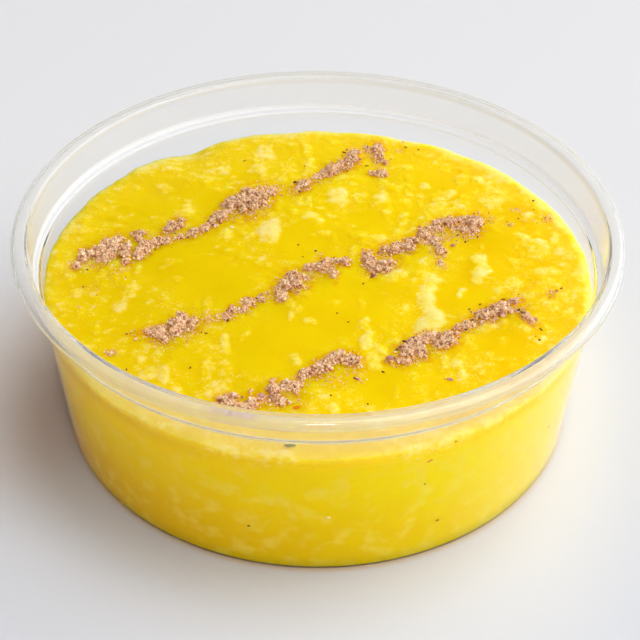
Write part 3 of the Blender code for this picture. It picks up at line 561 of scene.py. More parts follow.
class Nodes:
    """A node tree in the making, with one method that adds a node and a few made of it."""

    def __init__(self, tree):
        self.tree = tree

    def add(self, kind, settings=None, sockets=None, output=0):
        """Adds a node, its settings first, then its sockets' values or links."""
        node = self.tree.nodes.new(kind)
        for name, value in (settings or {}).items():
            if name == "stops":
                set_stops(node.color_ramp, value)
            else:
                setattr(node, name, value)
        for name, value in (sockets or {}).items():
            self.feed(node.inputs[name], value)
        return Channel(self, node.outputs[output])

    def feed(self, socket, value):
        if isinstance(value, Channel):
            self.tree.links.new(value.socket, socket)
        else:
            socket.default_value = value

    def noise(self, name):
        """A noise of the table, from 0 to 1, on Object coordinates."""
        size, detail = NOISES[name]
        place = self.add("ShaderNodeTexCoord", output="Object")
        sockets = {"Vector": place, "Scale": 1.0 / (size * MM), "Detail": detail}
        return self.add("ShaderNodeTexNoise", None, sockets)

    def place(self, axis):
        """How far along "X", "Y" or "Z" each place on a piece lies."""
        place = self.add("ShaderNodeTexCoord", output="Object")
        return self.add("ShaderNodeSeparateXYZ", None, {0: place}, output=axis)

    def attribute(self, name):
        return self.add("ShaderNodeAttribute", {"attribute_name": name}, output="Fac")

    def step(self, low, high, value):
        """0 below `low`, 1 above `high` and smooth between them."""
        sockets = {"Value": value, "From Min": low, "From Max": high}
        return self.add("ShaderNodeMapRange", {"interpolation_type": "SMOOTHSTEP"}, sockets)

    def band(self, name, place):
        low, high = BANDS[name]
        return self.step(low * MM, high * MM, place)

    def fade(self, name, value):
        return self.step(*FADES[name], value)

    def blend(self, factor, first, second):
        """Goes from the first colour to the second."""
        return self.add("ShaderNodeMix", {"data_type": "RGBA"}, {0: factor, 6: first, 7: second}, 2)

    def tint(self, colour, where, name):
        """Lays a tint of the table over a colour, as far as the mask says."""
        strength, shade = TINTS[name]
        return self.blend(where * strength, colour, paint(*shade))

    def ramp(self, value, stops):
        return self.add("ShaderNodeValToRGB", {"stops": stops}, {0: value})

    def bump(self, height, distance, strength):
        sockets = {"Height": height, "Distance": distance, "Strength": strength}
        return self.add("ShaderNodeBump", None, sockets)


class Finish(Nodes):
    """A material in the making, with its main shader."""

    def __init__(self, name, **constants):
        self.material = bpy.data.materials.new(name)
        self.material.use_nodes = True
        super().__init__(self.material.node_tree)
        self.shader = self.tree.nodes["Principled BSDF"]
        self.output = self.tree.nodes["Material Output"]
        for socket, value in constants.items():
            self.set(socket.replace("_", " "), value)

    def set(self, socket, value):
        self.feed(self.shader.inputs[socket], value)


def paint(red, green, blue):
    """A shader colour from the 0 to 255 values of a screen."""
    linear = []
    for value in (red, green, blue):
        share = value / 255.0
        linear.append(share / 12.92 if share <= 0.04045 else ((share + 0.055) / 1.055) ** 2.4)
    return (*linear, 1.0)


# Mesh tools

def finish_piece(name, shape, finish):
    """Makes a smooth object of a bmesh, at the origin, in the finish given."""
    mesh = bpy.data.meshes.new(name)
    shape.to_mesh(mesh)
    shape.free()
    mesh.shade_smooth()
    return finish_mesh(name, mesh, finish)


def finish_mesh(name, mesh, finish):
    mesh.materials.append(finish.material)
    piece = bpy.data.objects.new(name, mesh)
    bpy.context.scene.collection.objects.link(piece)
    return piece


def arc(centre, radius, start, end, points=ARC_POINTS):
    """Points (r, z) on an arc, from one angle to the other, in degrees from +r towards +z."""
    line = []
    for step in range(points + 1):
        angle = math.radians(start + (end - start) * step / points)
        line.append((centre[0] + radius * math.cos(angle), centre[1] + radius * math.sin(angle)))
    return line


def rounded_corner(before, corner, after, radius):
    """An arc that rounds the corner of a line of (r, z) points."""
    corner = Vector(corner)
    back = (Vector(before) - corner).normalized()
    ahead = (Vector(after) - corner).normalized()
    half = back.angle(ahead) / 2
    centre = corner + (back + ahead).normalized() * (radius / math.sin(half))
    start = corner + back * (radius / math.tan(half)) - centre
    end = corner + ahead * (radius / math.tan(half)) - centre
    line = []
    for step in range(SMALL_ARC_POINTS + 1):
        spoke = start.lerp(end, step / SMALL_ARC_POINTS).normalized() * radius
        line.append(tuple(centre + spoke))
    return line


def outer_wall_radius(z):
    """Outside radius of the tapered wall below the stacking step."""
    return FOOT_WALL_RADIUS + (STEP_WALL_RADIUS - FOOT_WALL_RADIUS) * z / STEP_BOTTOM


def inner_wall_radius(z):
    return outer_wall_radius(z) - WALL


def smooth_step(low, high, value):
    share = np.clip((value - low) / (high - low), 0.0, 1.0)
    return share * share * (3.0 - 2.0 * share)


def between(least, most, share):
    return least + (most - least) * share


def plane_noise(x, y, size, seed):
    """Smooth noise from -1 to 1 over the plane, with spots about `size` across."""
    cells = NOISE_CELLS
    lattice = np.random.default_rng(seed).uniform(-1.0, 1.0, (cells, cells))
    u, v = x / size, y / size
    column, row = np.floor(u).astype(int), np.floor(v).astype(int)
    across, along = u - column, v - row
    across = across * across * (3.0 - 2.0 * across)
    along = along * along * (3.0 - 2.0 * along)
    left, right = column % cells, (column + 1) % cells
    low, high = row % cells, (row + 1) % cells
    near = lattice[left, low] * (1 - across) + lattice[right, low] * across
    far = lattice[left, high] * (1 - across) + lattice[right, high] * across
    return near * (1 - along) + far * along


def layered_noise(x, y, size, seed, layers=3):
    """Noise from -1 to 1 with finer and fainter layers, each of half the size before."""
    total = sum(plane_noise(x, y, size / 2**k, seed + k) / 2**k for k in range(layers))
    return total / (2.0 - 0.5 ** (layers - 1))


def warped(x, y, distance, size, seeds):
    """The places pushed about by noise, so that an outline drawn over them is ragged."""
    return tuple(
        along + distance * layered_noise(x, y, size, seed) for along, seed in zip((x, y), seeds)
    )


def in_metres(row):
    """A row of x, y, half length, half width, height in mm and turn in degrees, as metres."""
    return tuple(value * MM for value in row[:-1]) + (math.radians(row[-1]),)


def camera_place():
    up, back = math.sin(CAMERA_ELEVATION), math.cos(CAMERA_ELEVATION)
    return Vector((0.0, -back, up)) * CAMERA_DISTANCE


def camera_turn():
    """How the camera is turned from looking straight down."""
    return (
        Matrix.Rotation(math.pi / 2 - CAMERA_ELEVATION, 3, "X")
        @ Matrix.Rotation(CAMERA_YAW, 3, "Y")
        @ Matrix.Rotation(CAMERA_PITCH, 3, "X")
        @ Matrix.Rotation(-CAMERA_ROLL, 3, "Z")
    )


def seen_at(x, y, height):
    """The place, at a height above the floor, that the camera sees at a pixel of the picture."""
    middle = PICTURE / 2
    focal = PICTURE * LENS / SENSOR
    way = camera_turn() @ Vector(((x - middle) / focal, (middle - y) / focal, -1.0))
    start = camera_place()
    return start + way * ((height - start.z) / way.z)


def heap_on_top(row):
    """A heap's ellipse in the picture, as the row that it makes on the pudding's top, in metres."""
    x, y, length, width, turn, height = row
    turn, height = math.radians(turn), height * MM
    foot = HEAP_FOOT + HEAP_OUTLINE_SHARE * height
    middle = seen_at(x, y, foot)
    along = seen_at(x + length * math.cos(turn), y - length * math.sin(turn), foot) - middle
    across = seen_at(x + width * math.sin(turn), y + width * math.cos(turn), foot) - middle
    ways, sizes, _ = np.linalg.svd(np.array([[along.x, across.x], [along.y, across.y]]))
    return middle.x, middle.y, sizes[0], sizes[1], height, math.atan2(ways[1, 0], ways[0, 0])


def inside_ellipse(x, y, row):
    """1 in the middle of an ellipse, 0 on its outline and below 0 outside it."""
    turn = row[TURN]
    along = (x - row[X]) * math.cos(turn) + (y - row[Y]) * math.sin(turn)
    across = (y - row[Y]) * math.cos(turn) - (x - row[X]) * math.sin(turn)
    return 1.0 - (along / row[LENGTH]) ** 2 - (across / row[WIDTH]) ** 2


# Pudding's top

def rice_clots():
    """The large clots and many small seeded ones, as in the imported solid."""
    clots = [in_metres(row) for row in RICE_CLOTS]
    draw = np.random.default_rng(RICE_SEED)
    reach = inner_wall_radius(LEVEL) - SMALL_RICE_WALL_GAP
    for _ in range(SMALL_RICE_COUNT):
        distance = reach * math.sqrt(draw.random())
        angle = math.tau * draw.random()
        length = draw.uniform(*SMALL_RICE_HALF_LENGTH)
        height = draw.uniform(*SMALL_RICE_HEIGHT)
        turn = math.pi * draw.random()
        place = (distance * math.cos(angle), distance * math.sin(angle))
        clots.append(place + (length, length / RICE_SLENDERNESS, height, turn))
    return clots


def smoothness(x, y):
    """1 in the middle of a patch of smooth gel, 0 outside all of them."""
    most = np.zeros_like(x)
    for patch_x, patch_y, radius in SMOOTH_PATCHES:
        distance = np.hypot(x - patch_x * MM, y - patch_y * MM) / (radius * MM)
        most = np.maximum(most, smooth_step(*SMOOTH_PATCH_FADE, distance))
    return most


def broken_grains():
    """Broken grains of rice that lie singly, fewer of them on the smooth gel, as ellipse rows."""
    draw = np.random.default_rng(GRAIN_SEED)
    reach = inner_wall_radius(LEVEL)
    distance = reach * np.sqrt(draw.random(LOOSE_GRAINS))
    angle = math.tau * draw.random(LOOSE_GRAINS)
    x, y = distance * np.cos(angle), distance * np.sin(angle)
    length = draw.uniform(*GRAIN_HALF_LENGTH, LOOSE_GRAINS)
    width = length / draw.uniform(1.0, GRAIN_SLENDERNESS, LOOSE_GRAINS)
    strength = draw.uniform(*GRAIN_STRENGTH, LOOSE_GRAINS)
    turn = math.pi * draw.random(LOOSE_GRAINS)
    kept = draw.random(LOOSE_GRAINS) < 1.0 - GRAINS_MISSING_ON_GEL * smoothness(x, y)
    return np.stack([x, y, length, width, strength, turn], axis=1)[kept]


class PuddingTop:
    """The top's height, and how much rice and spice lies there, at any place on it."""

    def __init__(self):
        self.clots = rice_clots()
        self.patches = [in_metres(row) for row in RICE_PATCHES]
        self.grains = broken_grains()
        self.heaps = [heap_on_top(row) for row in HEAPS]

    def level(self, x, y):
        """The bare level with its swells, its dent and its fall at the wall."""
        reach = inner_wall_radius(LEVEL)
        height = LEVEL + LEVEL_SWING * (x * x - y * y) / reach**2
        wave = math.tau / SWELL_PERIOD
        skew_x, skew_y = SWELL_SKEW
        swell = np.sin(wave * (x + skew_x * y)) * np.cos(wave * (y - skew_y * x))
        height = height + SWELL_HEIGHT * swell
        dent_x, dent_y = reach * math.cos(DENT_ANGLE), reach * math.sin(DENT_ANGLE)
        from_dent = np.hypot(x - dent_x, y - dent_y) / DENT_SPREAD
        height = height - DENT_DEPTH * np.exp(-from_dent * from_dent)
        from_wall = reach - np.hypot(x, y)
        near_wall = np.clip(1.0 - from_wall / EDGE_FALL_WIDTH, 0.0, 1.0)
        wobble = EDGE_WOBBLE * layered_noise(x, y, EDGE_WOBBLE_SIZE, EDGE_WOBBLE_SEED)
        height = height + wobble * smooth_step(EDGE_WOBBLE_WIDTH, 0.0, from_wall)
        return height - EDGE_FALL * near_wall**2

    def clots_and_patches(self, x, y, bare):
        """Height of the clots and patches of rice, and how pale the patches are."""
        warped_x, warped_y = warped(x, y, RICE_WARP, RICE_WARP_SIZE, RICE_WARP_SEEDS)
        height, paleness = np.zeros_like(x), np.zeros_like(x)
        for index, row in enumerate(self.clots):
            inside = np.maximum(inside_ellipse(warped_x, warped_y, row), 0.0)
            share = 1.0 if index < len(RICE_CLOTS) else between(*SMALL_RICE_SHARE, bare)
            rise = RICE_RELIEF * share * row[HEIGHT] * inside**RICE_ROUNDNESS
            height = np.maximum(height, rise)
        for row in self.patches:
            inside = inside_ellipse(warped_x, warped_y, row)
            rise = PATCH_RELIEF * row[HEIGHT] * smooth_step(*PATCH_RISE_FADE, inside)
            height = np.maximum(height, rise)
            pale = row[HEIGHT] / MM * smooth_step(*PATCH_PALE_FADE, inside)
            paleness = np.maximum(paleness, pale)
        return height, paleness

    def rice_at_wall(self, x, y, clumped):
        """How much paler the top is along the wall, where rice has gathered."""
        from_wall = inner_wall_radius(LEVEL) - np.hypot(x, y)
        share = smooth_step(EDGE_RICE_WIDTH, 0.0, from_wall) * between(*EDGE_RICE_SHARE, clumped)
        share += smooth_step(EDGE_RICE_LINE_WIDTH, 0.0, from_wall)
        side = between(*EDGE_RICE_SIDES, smooth_step(*EDGE_RICE_SIDES_FADE, x + y))
        return EDGE_RICE * share * side

    def rice(self, x, y):
        """Height and paleness of the rice: soft clots and patches, lumps and broken grains."""
        bare = 1.0 - smoothness(x, y)
        clumped = smooth_step(*CLUMP_FADE, layered_noise(x, y, CLUMP_SIZE, CLUMP_SEED))
        height, richness = self.clots_and_patches(x, y, bare)
        richness = np.maximum(richness, between(*PLAIN_PALENESS, clumped) * bare)
        nubs = smooth_step(*NUB_FADE, layered_noise(x, y, NUB_SIZE, NUB_SEED, 2)) * bare
        richness = np.maximum(richness, between(*NUB_PALENESS, clumped) * nubs)
        richness += self.rice_at_wall(x, y, clumped)
        lumps = layered_noise(x, y, LUMP_SIZE, LUMP_SEED)
        height += NUB_HEIGHT * nubs + LUMP_HEIGHT * lumps * between(*LUMP_SHARE, richness)
        for row in self.grains:
            away = np.abs(x - row[X]) + np.abs(y - row[Y])
            near = np.nonzero(away < GRAIN_REACH * row[LENGTH])[0]
            if len(near):
                inside = inside_ellipse(x[near], y[near], row)
                rise = row[HEIGHT] * np.maximum(inside, 0.0) ** GRAIN_ROUNDNESS
                height[near] += GRAIN_HEIGHT * rise
                pale = row[HEIGHT] * smooth_step(*GRAIN_PALE_FADE, inside)
                richness[near] += GRAIN_PALENESS * pale
        return height, np.minimum(richness, 1.0)

    def heap_shares(self, x, y):
        """For each heap: 1 in its middle, 0 on its ragged outline and below 0 outside it."""
        warped_x, warped_y = warped(x, y, HEAP_WARP, HEAP_WARP_SIZE, HEAP_WARP_SEEDS)
        fray = HEAP_EDGE_FRAY * layered_noise(x, y, HEAP_FRAY_SIZE, HEAP_FRAY_SEED)
        return [(row, inside_ellipse(warped_x, warped_y, row), fray) for row in self.heaps]

    def spice_nearness(self, x, y):
        return np.max([inside + fray for _, inside, fray in self.heap_shares(x, y)], axis=0)

    def spice(self, x, y):
        """Height of the heaps over the rice, how far they cover it and the stain round them."""
        lumps = layered_noise(x, y, HEAP_LUMP_SIZE, HEAP_LUMP_SEED)
        lumps = HEAP_LUMP_MEAN + HEAP_LUMP_SWING * lumps
        height = np.zeros_like(x)
        for row, inside, fray in self.heap_shares(x, y):
            frayed = np.maximum(inside + HEAP_FRAY_IN_RELIEF * fray, 0.0) ** HEAP_ROUNDNESS
            rise = (HEAP_FLATTENING * row[HEIGHT] + HEAP_SINK) * frayed * lumps
            height = np.maximum(height, rise - HEAP_SINK)
        nearness = self.spice_nearness(x, y)
        stain = smooth_step(*STAIN_FADE, nearness)
        for spot_x, spot_y, spread, count in SPRINKLES:
            away = np.hypot(x - spot_x * MM, y - spot_y * MM) / (spread * MM)
            strength = min(count / FULL_STAIN_COUNT, 1.0)
            stain = np.maximum(stain, strength * smooth_step(*SPRINKLE_STAIN_FADE, away))
        return height, smooth_step(*COVER_FADE, nearness), stain

    def height(self, x, y):
        return self.level(x, y) + self.rice(x, y)[0] + self.spice(x, y)[0]


def square_to_disc(u, v):
    """Points of the square from -1 to 1, moved to the unit disc so that its cells stay even."""
    size = np.maximum(np.abs(u), np.abs(v))
    wide = np.abs(u) >= np.abs(v)
    with np.errstate(divide="ignore", invalid="ignore"):
        angle = np.where(wide, math.pi / 4 * v / u, math.pi / 2 - math.pi / 4 * u / v)
    angle = np.where(np.where(wide, u, v) < 0.0, angle + math.pi, angle)
    angle = np.nan_to_num(angle)
    return size * np.cos(angle), size * np.sin(angle)


def corners_of(shape):
    return np.array([corner.co for corner in shape.verts])


def pudding_side():
    """Points (r, z) down the pudding's side, just inside the plastic, and round its bottom edge."""
    side_top = LEVEL - SIDE_START_DROP
    edge_top = FLOOR_TOP - INTO_FLOOR + FILLING_EDGE_RADIUS
    line = []
    for row in range(1, SIDE_ROWS + 1):
        z = between(side_top, edge_top, row / SIDE_ROWS)
        line.append((inner_wall_radius(z) + INTO_WALL, z))
    corner = (inner_wall_radius(edge_top) + INTO_WALL - FILLING_EDGE_RADIUS, edge_top)
    return line + arc(corner, FILLING_EDGE_RADIUS, 0, -90, FILLET_POINTS)[1:]


def make_pudding(finish, top):
    """The pudding: a fine even grid for its top, over a side and a floor that touch the tub."""
    shape = bmesh.new()
    bmesh.ops.create_grid(shape, x_segments=TOP_CELLS, y_segments=TOP_CELLS, size=1.0)
    rim = [edge for edge in shape.edges if edge.is_boundary]
    rim_corners = {corner for edge in rim for corner in edge.verts}
    grid = corners_of(shape)
    disc_x, disc_y = square_to_disc(grid[:, 0], grid[:, 1])
    reach = inner_wall_radius(LEVEL) + INTO_WALL
    for corner, x, y in zip(shape.verts, disc_x * reach, disc_y * reach):
        corner.co = (x, y, 0.0)
    inner_corners = [corner for corner in shape.verts if corner not in rim_corners]
    for _ in range(EVENING_PASSES):
        bmesh.ops.smooth_vert(
            shape, verts=inner_corners, factor=EVENING, use_axis_x=True, use_axis_y=True
        )
    flat = corners_of(shape)
    heights = top.height(flat[:, 0], flat[:, 1])
    for corner, z in zip(shape.verts, heights):
        corner.co.z = z
    for corner in rim_corners:
        corner.co.xy = corner.co.xy.normalized() * (inner_wall_radius(corner.co.z) + INTO_WALL)
    for radius, z in pudding_side():
        made = bmesh.ops.extrude_edge_only(shape, edges=rim)["geom"]
        rim = [edge for edge in made if isinstance(edge, bmesh.types.BMEdge) and edge.is_boundary]
        for corner in {corner for edge in rim for corner in edge.verts}:
            corner.co.xy = corner.co.xy.normalized() * radius
            corner.co.z = z
    bmesh.ops.holes_fill(shape, edges=rim, sides=0)
    bmesh.ops.recalc_face_normals(shape, faces=shape.faces)
    places = corners_of(shape)
    pudding = finish_piece("saffron_pudding_filling", shape, finish)
    x, y, z = places.T
    faded, full = TOP_FADE
    on_top = smooth_step(LEVEL - faded, LEVEL - full, z)
    _, cover, stain = top.spice(x, y)
    for name, values in (("rice", top.rice(x, y)[1]), ("spice", cover), ("stain", stain)):
        layer = pudding.data.attributes.new(name, "FLOAT", "POINT")
        layer.data.foreach_set("value", (values * on_top).astype(np.float32))
    return pudding


# Crumbs

def crumb_shapes(coarse):
    """A few rough crumbs whose corners lie about one unit out, as corner arrays, and their faces."""
    draw = np.random.default_rng(CRUMB_SEED)
    shapes = []
    for _ in range(CRUMB_SHAPES):
        shape = bmesh.new()
        if coarse:
            bmesh.ops.create_icosphere(shape, subdivisions=1, radius=1.0)
        else:
            bmesh.ops.create_cube(shape, size=2.0 / math.sqrt(3.0))
        corners = corners_of(shape)
        faces = np.array([[corner.index for corner in face.verts] for face in shape.faces])
        shape.free()
        corners *= 1.0 + draw.uniform(-CRUMB_JITTER, CRUMB_JITTER, (len(corners), 1))
        shapes.append(corners)
    return shapes, faces


def random_turns(draw, count):
    """Random rotation matrices, from random quaternions."""
    w, x, y, z = draw.normal(size=(count, 4)).T
    length = np.sqrt(w * w + x * x + y * y + z * z)
    w, x, y, z = w / length, x / length, y / length, z / length
    rows = [
        [1 - 2 * (y * y + z * z), 2 * (x * y - z * w), 2 * (x * z + y * w)],
        [2 * (x * y + z * w), 1 - 2 * (x * x + z * z), 2 * (y * z - x * w)],
        [2 * (x * z - y * w), 2 * (y * z + x * w), 1 - 2 * (x * x + y * y)],
    ]
    return np.moveaxis(np.array(rows), 2, 0)


def join_crumbs(name, finish, places, sizes, turns, shades, coarse=True):
    """One mesh of many crumbs, each with its place, its three radii, its turn and its shade."""
    shapes, faces = crumb_shapes(coarse)
    count = len(places)
    chosen = np.arange(count) % len(shapes)
    corners = np.array(shapes)[chosen] * sizes[:, None, :]
    corners = np.einsum("nij,nkj->nki", turns, corners) + places[:, None, :]
    per_crumb = corners.shape[1]
    first_corners = per_crumb * np.arange(count)[:, None, None]
    mesh = bpy.data.meshes.new(name)
    mesh.from_pydata(corners.reshape(-1, 3), [], (faces + first_corners).reshape(-1, faces.shape[1]))
    mesh.shade_flat()
    layer = mesh.attributes.new("shade", "FLOAT", "POINT")
    layer.data.foreach_set("value", np.repeat(shades, per_crumb).astype(np.float32))
    return finish_mesh(name, mesh, finish)


def places_on_heaps(draw, top):
    """Places on the heaps, more of them on the larger ones, that thin out past their outlines."""
    heaps = np.array(top.heaps)
    areas = heaps[:, LENGTH] * heaps[:, WIDTH]
    x, y = np.empty(0), np.empty(0)
    while len(x) < HEAP_CRUMBS:
        picks = draw.choice(len(heaps), size=CRUMBS_TRIED_AT_ONCE, p=areas / areas.sum())
        rows = heaps[picks]
        share = HEAP_SCATTER * np.sqrt(draw.random(len(picks)))
        around = math.tau * draw.random(len(picks))
        along = rows[:, LENGTH] * share * np.cos(around)
        across = rows[:, WIDTH] * share * np.sin(around)
        turn = rows[:, TURN]
        new_x = rows[:, X] + along * np.cos(turn) - across * np.sin(turn)
        new_y = rows[:, Y] + along * np.sin(turn) + across * np.cos(turn)
        short = np.minimum(top.spice_nearness(new_x, new_y) - FULL_POWDER, 0.0)
        kept = draw.random(len(picks)) < np.exp(EDGE_THINNING * short)
        x, y = np.append(x, new_x[kept]), np.append(y, new_y[kept])
    return x[:HEAP_CRUMBS], y[:HEAP_CRUMBS]


def powder_places(draw, top):
    """Places and fineness of the powder's crumbs: on the heaps, then sprinkled beside them."""
    x, y = places_on_heaps(draw, top)
    for spot_x, spot_y, spread, count in SPRINKLES:
        deviation = spread * MM / SPREADS_PER_DEVIATION
        x = np.append(x, spot_x * MM + draw.normal(0.0, deviation, count))
        y = np.append(y, spot_y * MM + draw.normal(0.0, deviation, count))
    fineness = np.where(np.arange(len(x)) < HEAP_CRUMBS, 1.0, SPRINKLED_FINENESS)
    inside = np.hypot(x, y) < inner_wall_radius(LEVEL) - CRUMB_WALL_GAP
    return x[inside], y[inside], fineness[inside]


def make_powder(top):
    """The ground spice: pale, pink, brown and dark crumbs, a joined mesh for each kind."""
    draw = np.random.default_rng(CRUMB_SEED)
    x, y, fineness = powder_places(draw, top)
    count = len(x)
    radius = CRUMB_RADIUS * fineness * np.exp(draw.normal(0.0, CRUMB_RADIUS_SPREAD, count))
    radius = np.minimum(radius, CRUMB_LARGEST)
    cover = top.spice(x, y)[1]
    lift = radius * (CRUMB_RISE * fineness - CRUMB_SINK)
    lift += STACKING * cover * draw.random(count) ** STACKING_POWER
    places = np.stack([x, y, top.height(x, y) + lift], axis=1)
    sizes = radius[:, None] * np.array(CRUMB_FLATNESS) * draw.uniform(*CRUMB_UNEVENNESS, (count, 3))
    turns = random_turns(draw, count)
    shades = draw.random(count)
    kinds = draw.choice(len(SPICE_SHARES), size=count, p=list(SPICE_SHARES.values()))
    pieces = []
    for kind, name in enumerate(SPICE_SHARES):
        own = kinds == kind
        own_crumbs = (places[own], sizes[own], turns[own], shades[own])
        pieces.append(join_crumbs(f"{name}_crumbs", crumb_finish(name), *own_crumbs, coarse=False))
    return pieces


def make_flakes(name, finish, rows, top, thickness=FLAKE_THICKNESS, fineness=FLAKE_FINENESS):
    """Flakes or coarse crumbs that are placed one by one, lying on the top."""
    draw = np.random.default_rng(FLAKE_SEEDS[name])
    rows = np.array([in_metres(row) for row in rows])
    x, y, length, width, turn = rows.T
    length, width = length * fineness, width * fineness
    height = width * thickness
    places = np.stack([x, y, top.height(x, y) + FLAKE_RISE * height + FLAKE_GAP], axis=1)
    sizes = np.stack([length, width, height], axis=1)
    turns = np.zeros((len(rows), 3, 3))
    for index, angle in enumerate(turn):
        tilt = Matrix.Rotation(draw.uniform(-FLAKE_TILT, FLAKE_TILT), 3, "X")
        turns[index] = np.array(Matrix.Rotation(angle, 3, "Z") @ tilt)
    return join_crumbs(name, finish, places, sizes, turns, draw.random(len(rows)))


def make_side_specks(name, finish, rows):
    """Specks on the pudding's side, flat against the inside of the wall."""
    places, sizes, turns = [], [], []
    for azimuth, z, length, width, turn in rows:
        around = math.radians(azimuth)
        radius = inner_wall_radius(z * MM) + INTO_WALL
        places.append((radius * math.cos(around), radius * math.sin(around), z * MM))
        sizes.append((length * MM, width * MM, SIDE_SPECK_HALF_DEPTH))
        upright = Matrix.Rotation(math.pi / 2, 3, "X")
        facing = Matrix.Rotation(around + math.pi / 2, 3, "Z") @ upright
        turns.append(np.array(facing @ Matrix.Rotation(math.radians(turn), 3, "Z")))
    shades = np.linspace(*SIDE_SPECK_SHADES, len(rows))
    return join_crumbs(name, finish, np.array(places), np.array(sizes), np.array(turns), shades)


def make_small_pieces(top):
    """The flakes and crumbs that lie apart on the top, and what shows through the wall."""
    leaf, saffron = crumb_finish("green_sliver"), crumb_finish("saffron_threads")
    dark, green = crumb_finish("dark_flakes"), crumb_finish("green_grey_flakes")
    pink, cream = crumb_finish("pink_crumbs"), crumb_finish("rice_grains")
    return [
        make_flakes("green_sliver", leaf, GREEN_SLIVERS, top, thickness=0.6),
        make_flakes("saffron_smears", saffron, SAFFRON_SMEARS, top, thickness=0.3),
        make_side_specks("side_specks", dark, SIDE_SPECKS),
        make_side_specks("side_saffron_threads", saffron, SIDE_THREADS),
        make_side_specks("side_rice_grains", cream, SIDE_PALE_BITS),
        make_flakes("dark_flakes", dark, DARK_FLAKES, top, fineness=0.72),
        make_flakes("green_grey_flakes", green, GREEN_FLAKES, top),
        make_flakes("pink_crumbs", pink, PINK_CRUMBS, top, thickness=0.8),
    ]


# Tub

def tub_profile():
    """The tub's section, from the middle of its floor up the inside, over the rim and down."""
    inner_edge_radius = FOOT_EDGE_RADIUS - WALL / 2
    inner_corner = (inner_wall_radius(FLOOR_TOP) - inner_edge_radius, FLOOR_TOP + inner_edge_radius)
    outer_corner = (outer_wall_radius(0.0) - FOOT_EDGE_RADIUS, FOOT_EDGE_RADIUS)
    step_inner = inner_wall_radius(STEP_BOTTOM)
    upper_inner = step_inner + STEP_WIDTH
    step_outer = outer_wall_radius(STEP_BOTTOM)
    mouth_top = TUB_HEIGHT - FLANGE_CROWN_DROP
    mouth_centre = (MOUTH_RADIUS + MOUTH_EDGE_RADIUS, mouth_top - MOUTH_EDGE_RADIUS)
    crown_radius = (MOUTH_RADIUS + RIM_RADIUS + MOUTH_EDGE_RADIUS) / 2
    edge_top = TUB_HEIGHT - FLANGE_CROWN_DROP / 2
    edge_centre = (RIM_RADIUS - FLANGE_EDGE_RADIUS, edge_top - FLANGE_EDGE_RADIUS)
    skirt_edge_z = TUB_HEIGHT - SKIRT_DEPTH + SKIRT_EDGE_RADIUS
    under_flange = mouth_top - WALL
    skirt_inner = RIM_RADIUS - WALL
    # The wall's corners, up the inside and then down the outside
    inner_foot = (inner_wall_radius(FLOOR_TOP), FLOOR_TOP + inner_edge_radius)
    inner_step = (step_inner, STEP_BOTTOM)
    inner_ledge = (upper_inner, STEP_TOP)
    mouth = (MOUTH_RADIUS, mouth_top - MOUTH_EDGE_RADIUS)
    under_skirt = (skirt_inner - WALL, under_flange)
    under_mouth = (MOUTH_RADIUS + WALL, under_flange)
    outer_ledge = (upper_inner + WALL, STEP_TOP)
    outer_step = (step_outer, STEP_BOTTOM - WALL / 2)
    outer_foot = (FOOT_WALL_RADIUS, FOOT_EDGE_RADIUS)

    points = [(0.0, FLOOR_TOP)]
    points += arc(inner_corner, inner_edge_radius, -90, 0)
    points += rounded_corner(inner_foot, inner_step, inner_ledge, STEP_EDGE_RADIUS)
    points += rounded_corner(inner_step, inner_ledge, mouth, STEP_EDGE_RADIUS)
    points += arc(mouth_centre, MOUTH_EDGE_RADIUS, 180, 90)
    points.append((crown_radius, TUB_HEIGHT))
    points += arc(edge_centre, FLANGE_EDGE_RADIUS, 80, 0)
    skirt_outside = (RIM_RADIUS - SKIRT_EDGE_RADIUS, skirt_edge_z)
    points += arc(skirt_outside, SKIRT_EDGE_RADIUS, 0, -90, SMALL_ARC_POINTS)
    skirt_inside = (skirt_inner + SKIRT_EDGE_RADIUS, skirt_edge_z)
    points += arc(skirt_inside, SKIRT_EDGE_RADIUS, -90, -180, SMALL_ARC_POINTS)
    points += arc((skirt_inner - WALL, under_flange - WALL), WALL, 0, 90, FILLET_POINTS)
    points += rounded_corner(under_skirt, under_mouth, outer_ledge, WALL / 2)
    points += rounded_corner(under_mouth, outer_ledge, outer_step, STEP_EDGE_RADIUS)
    points += rounded_corner(outer_ledge, outer_step, outer_foot, STEP_EDGE_RADIUS)
    points += arc(outer_corner, FOOT_EDGE_RADIUS, 0, -90)
    points.append((FOOT_RING_INNER_RADIUS, 0.0))
    points.append((FOOT_RING_INNER_RADIUS - FOOT_RECESS, FOOT_RECESS))
    points.append((0.0, FOOT_RECESS))
    return points


def make_tub(finish):
    """The clear tub, turned about its axis from its section."""
    shape = bmesh.new()
    corners = [shape.verts.new((r, 0.0, z)) for r, z in tub_profile()]
    edges = [shape.edges.new(pair) for pair in zip(corners, corners[1:])]
    bmesh.ops.spin(
        shape, geom=corners + edges, cent=(0, 0, 0), axis=(0, 0, 1),
        angle=math.tau, steps=TUB_STEPS, use_merge=True,
    )
    bmesh.ops.remove_doubles(shape, verts=shape.verts, dist=MERGE_DISTANCE)
    bmesh.ops.recalc_face_normals(shape, faces=shape.faces)
    tub = finish_piece("clear_tub", shape, finish)
    tub.data.set_sharp_from_angle(angle=SHARP_ANGLE)
    return tub


# Finishes

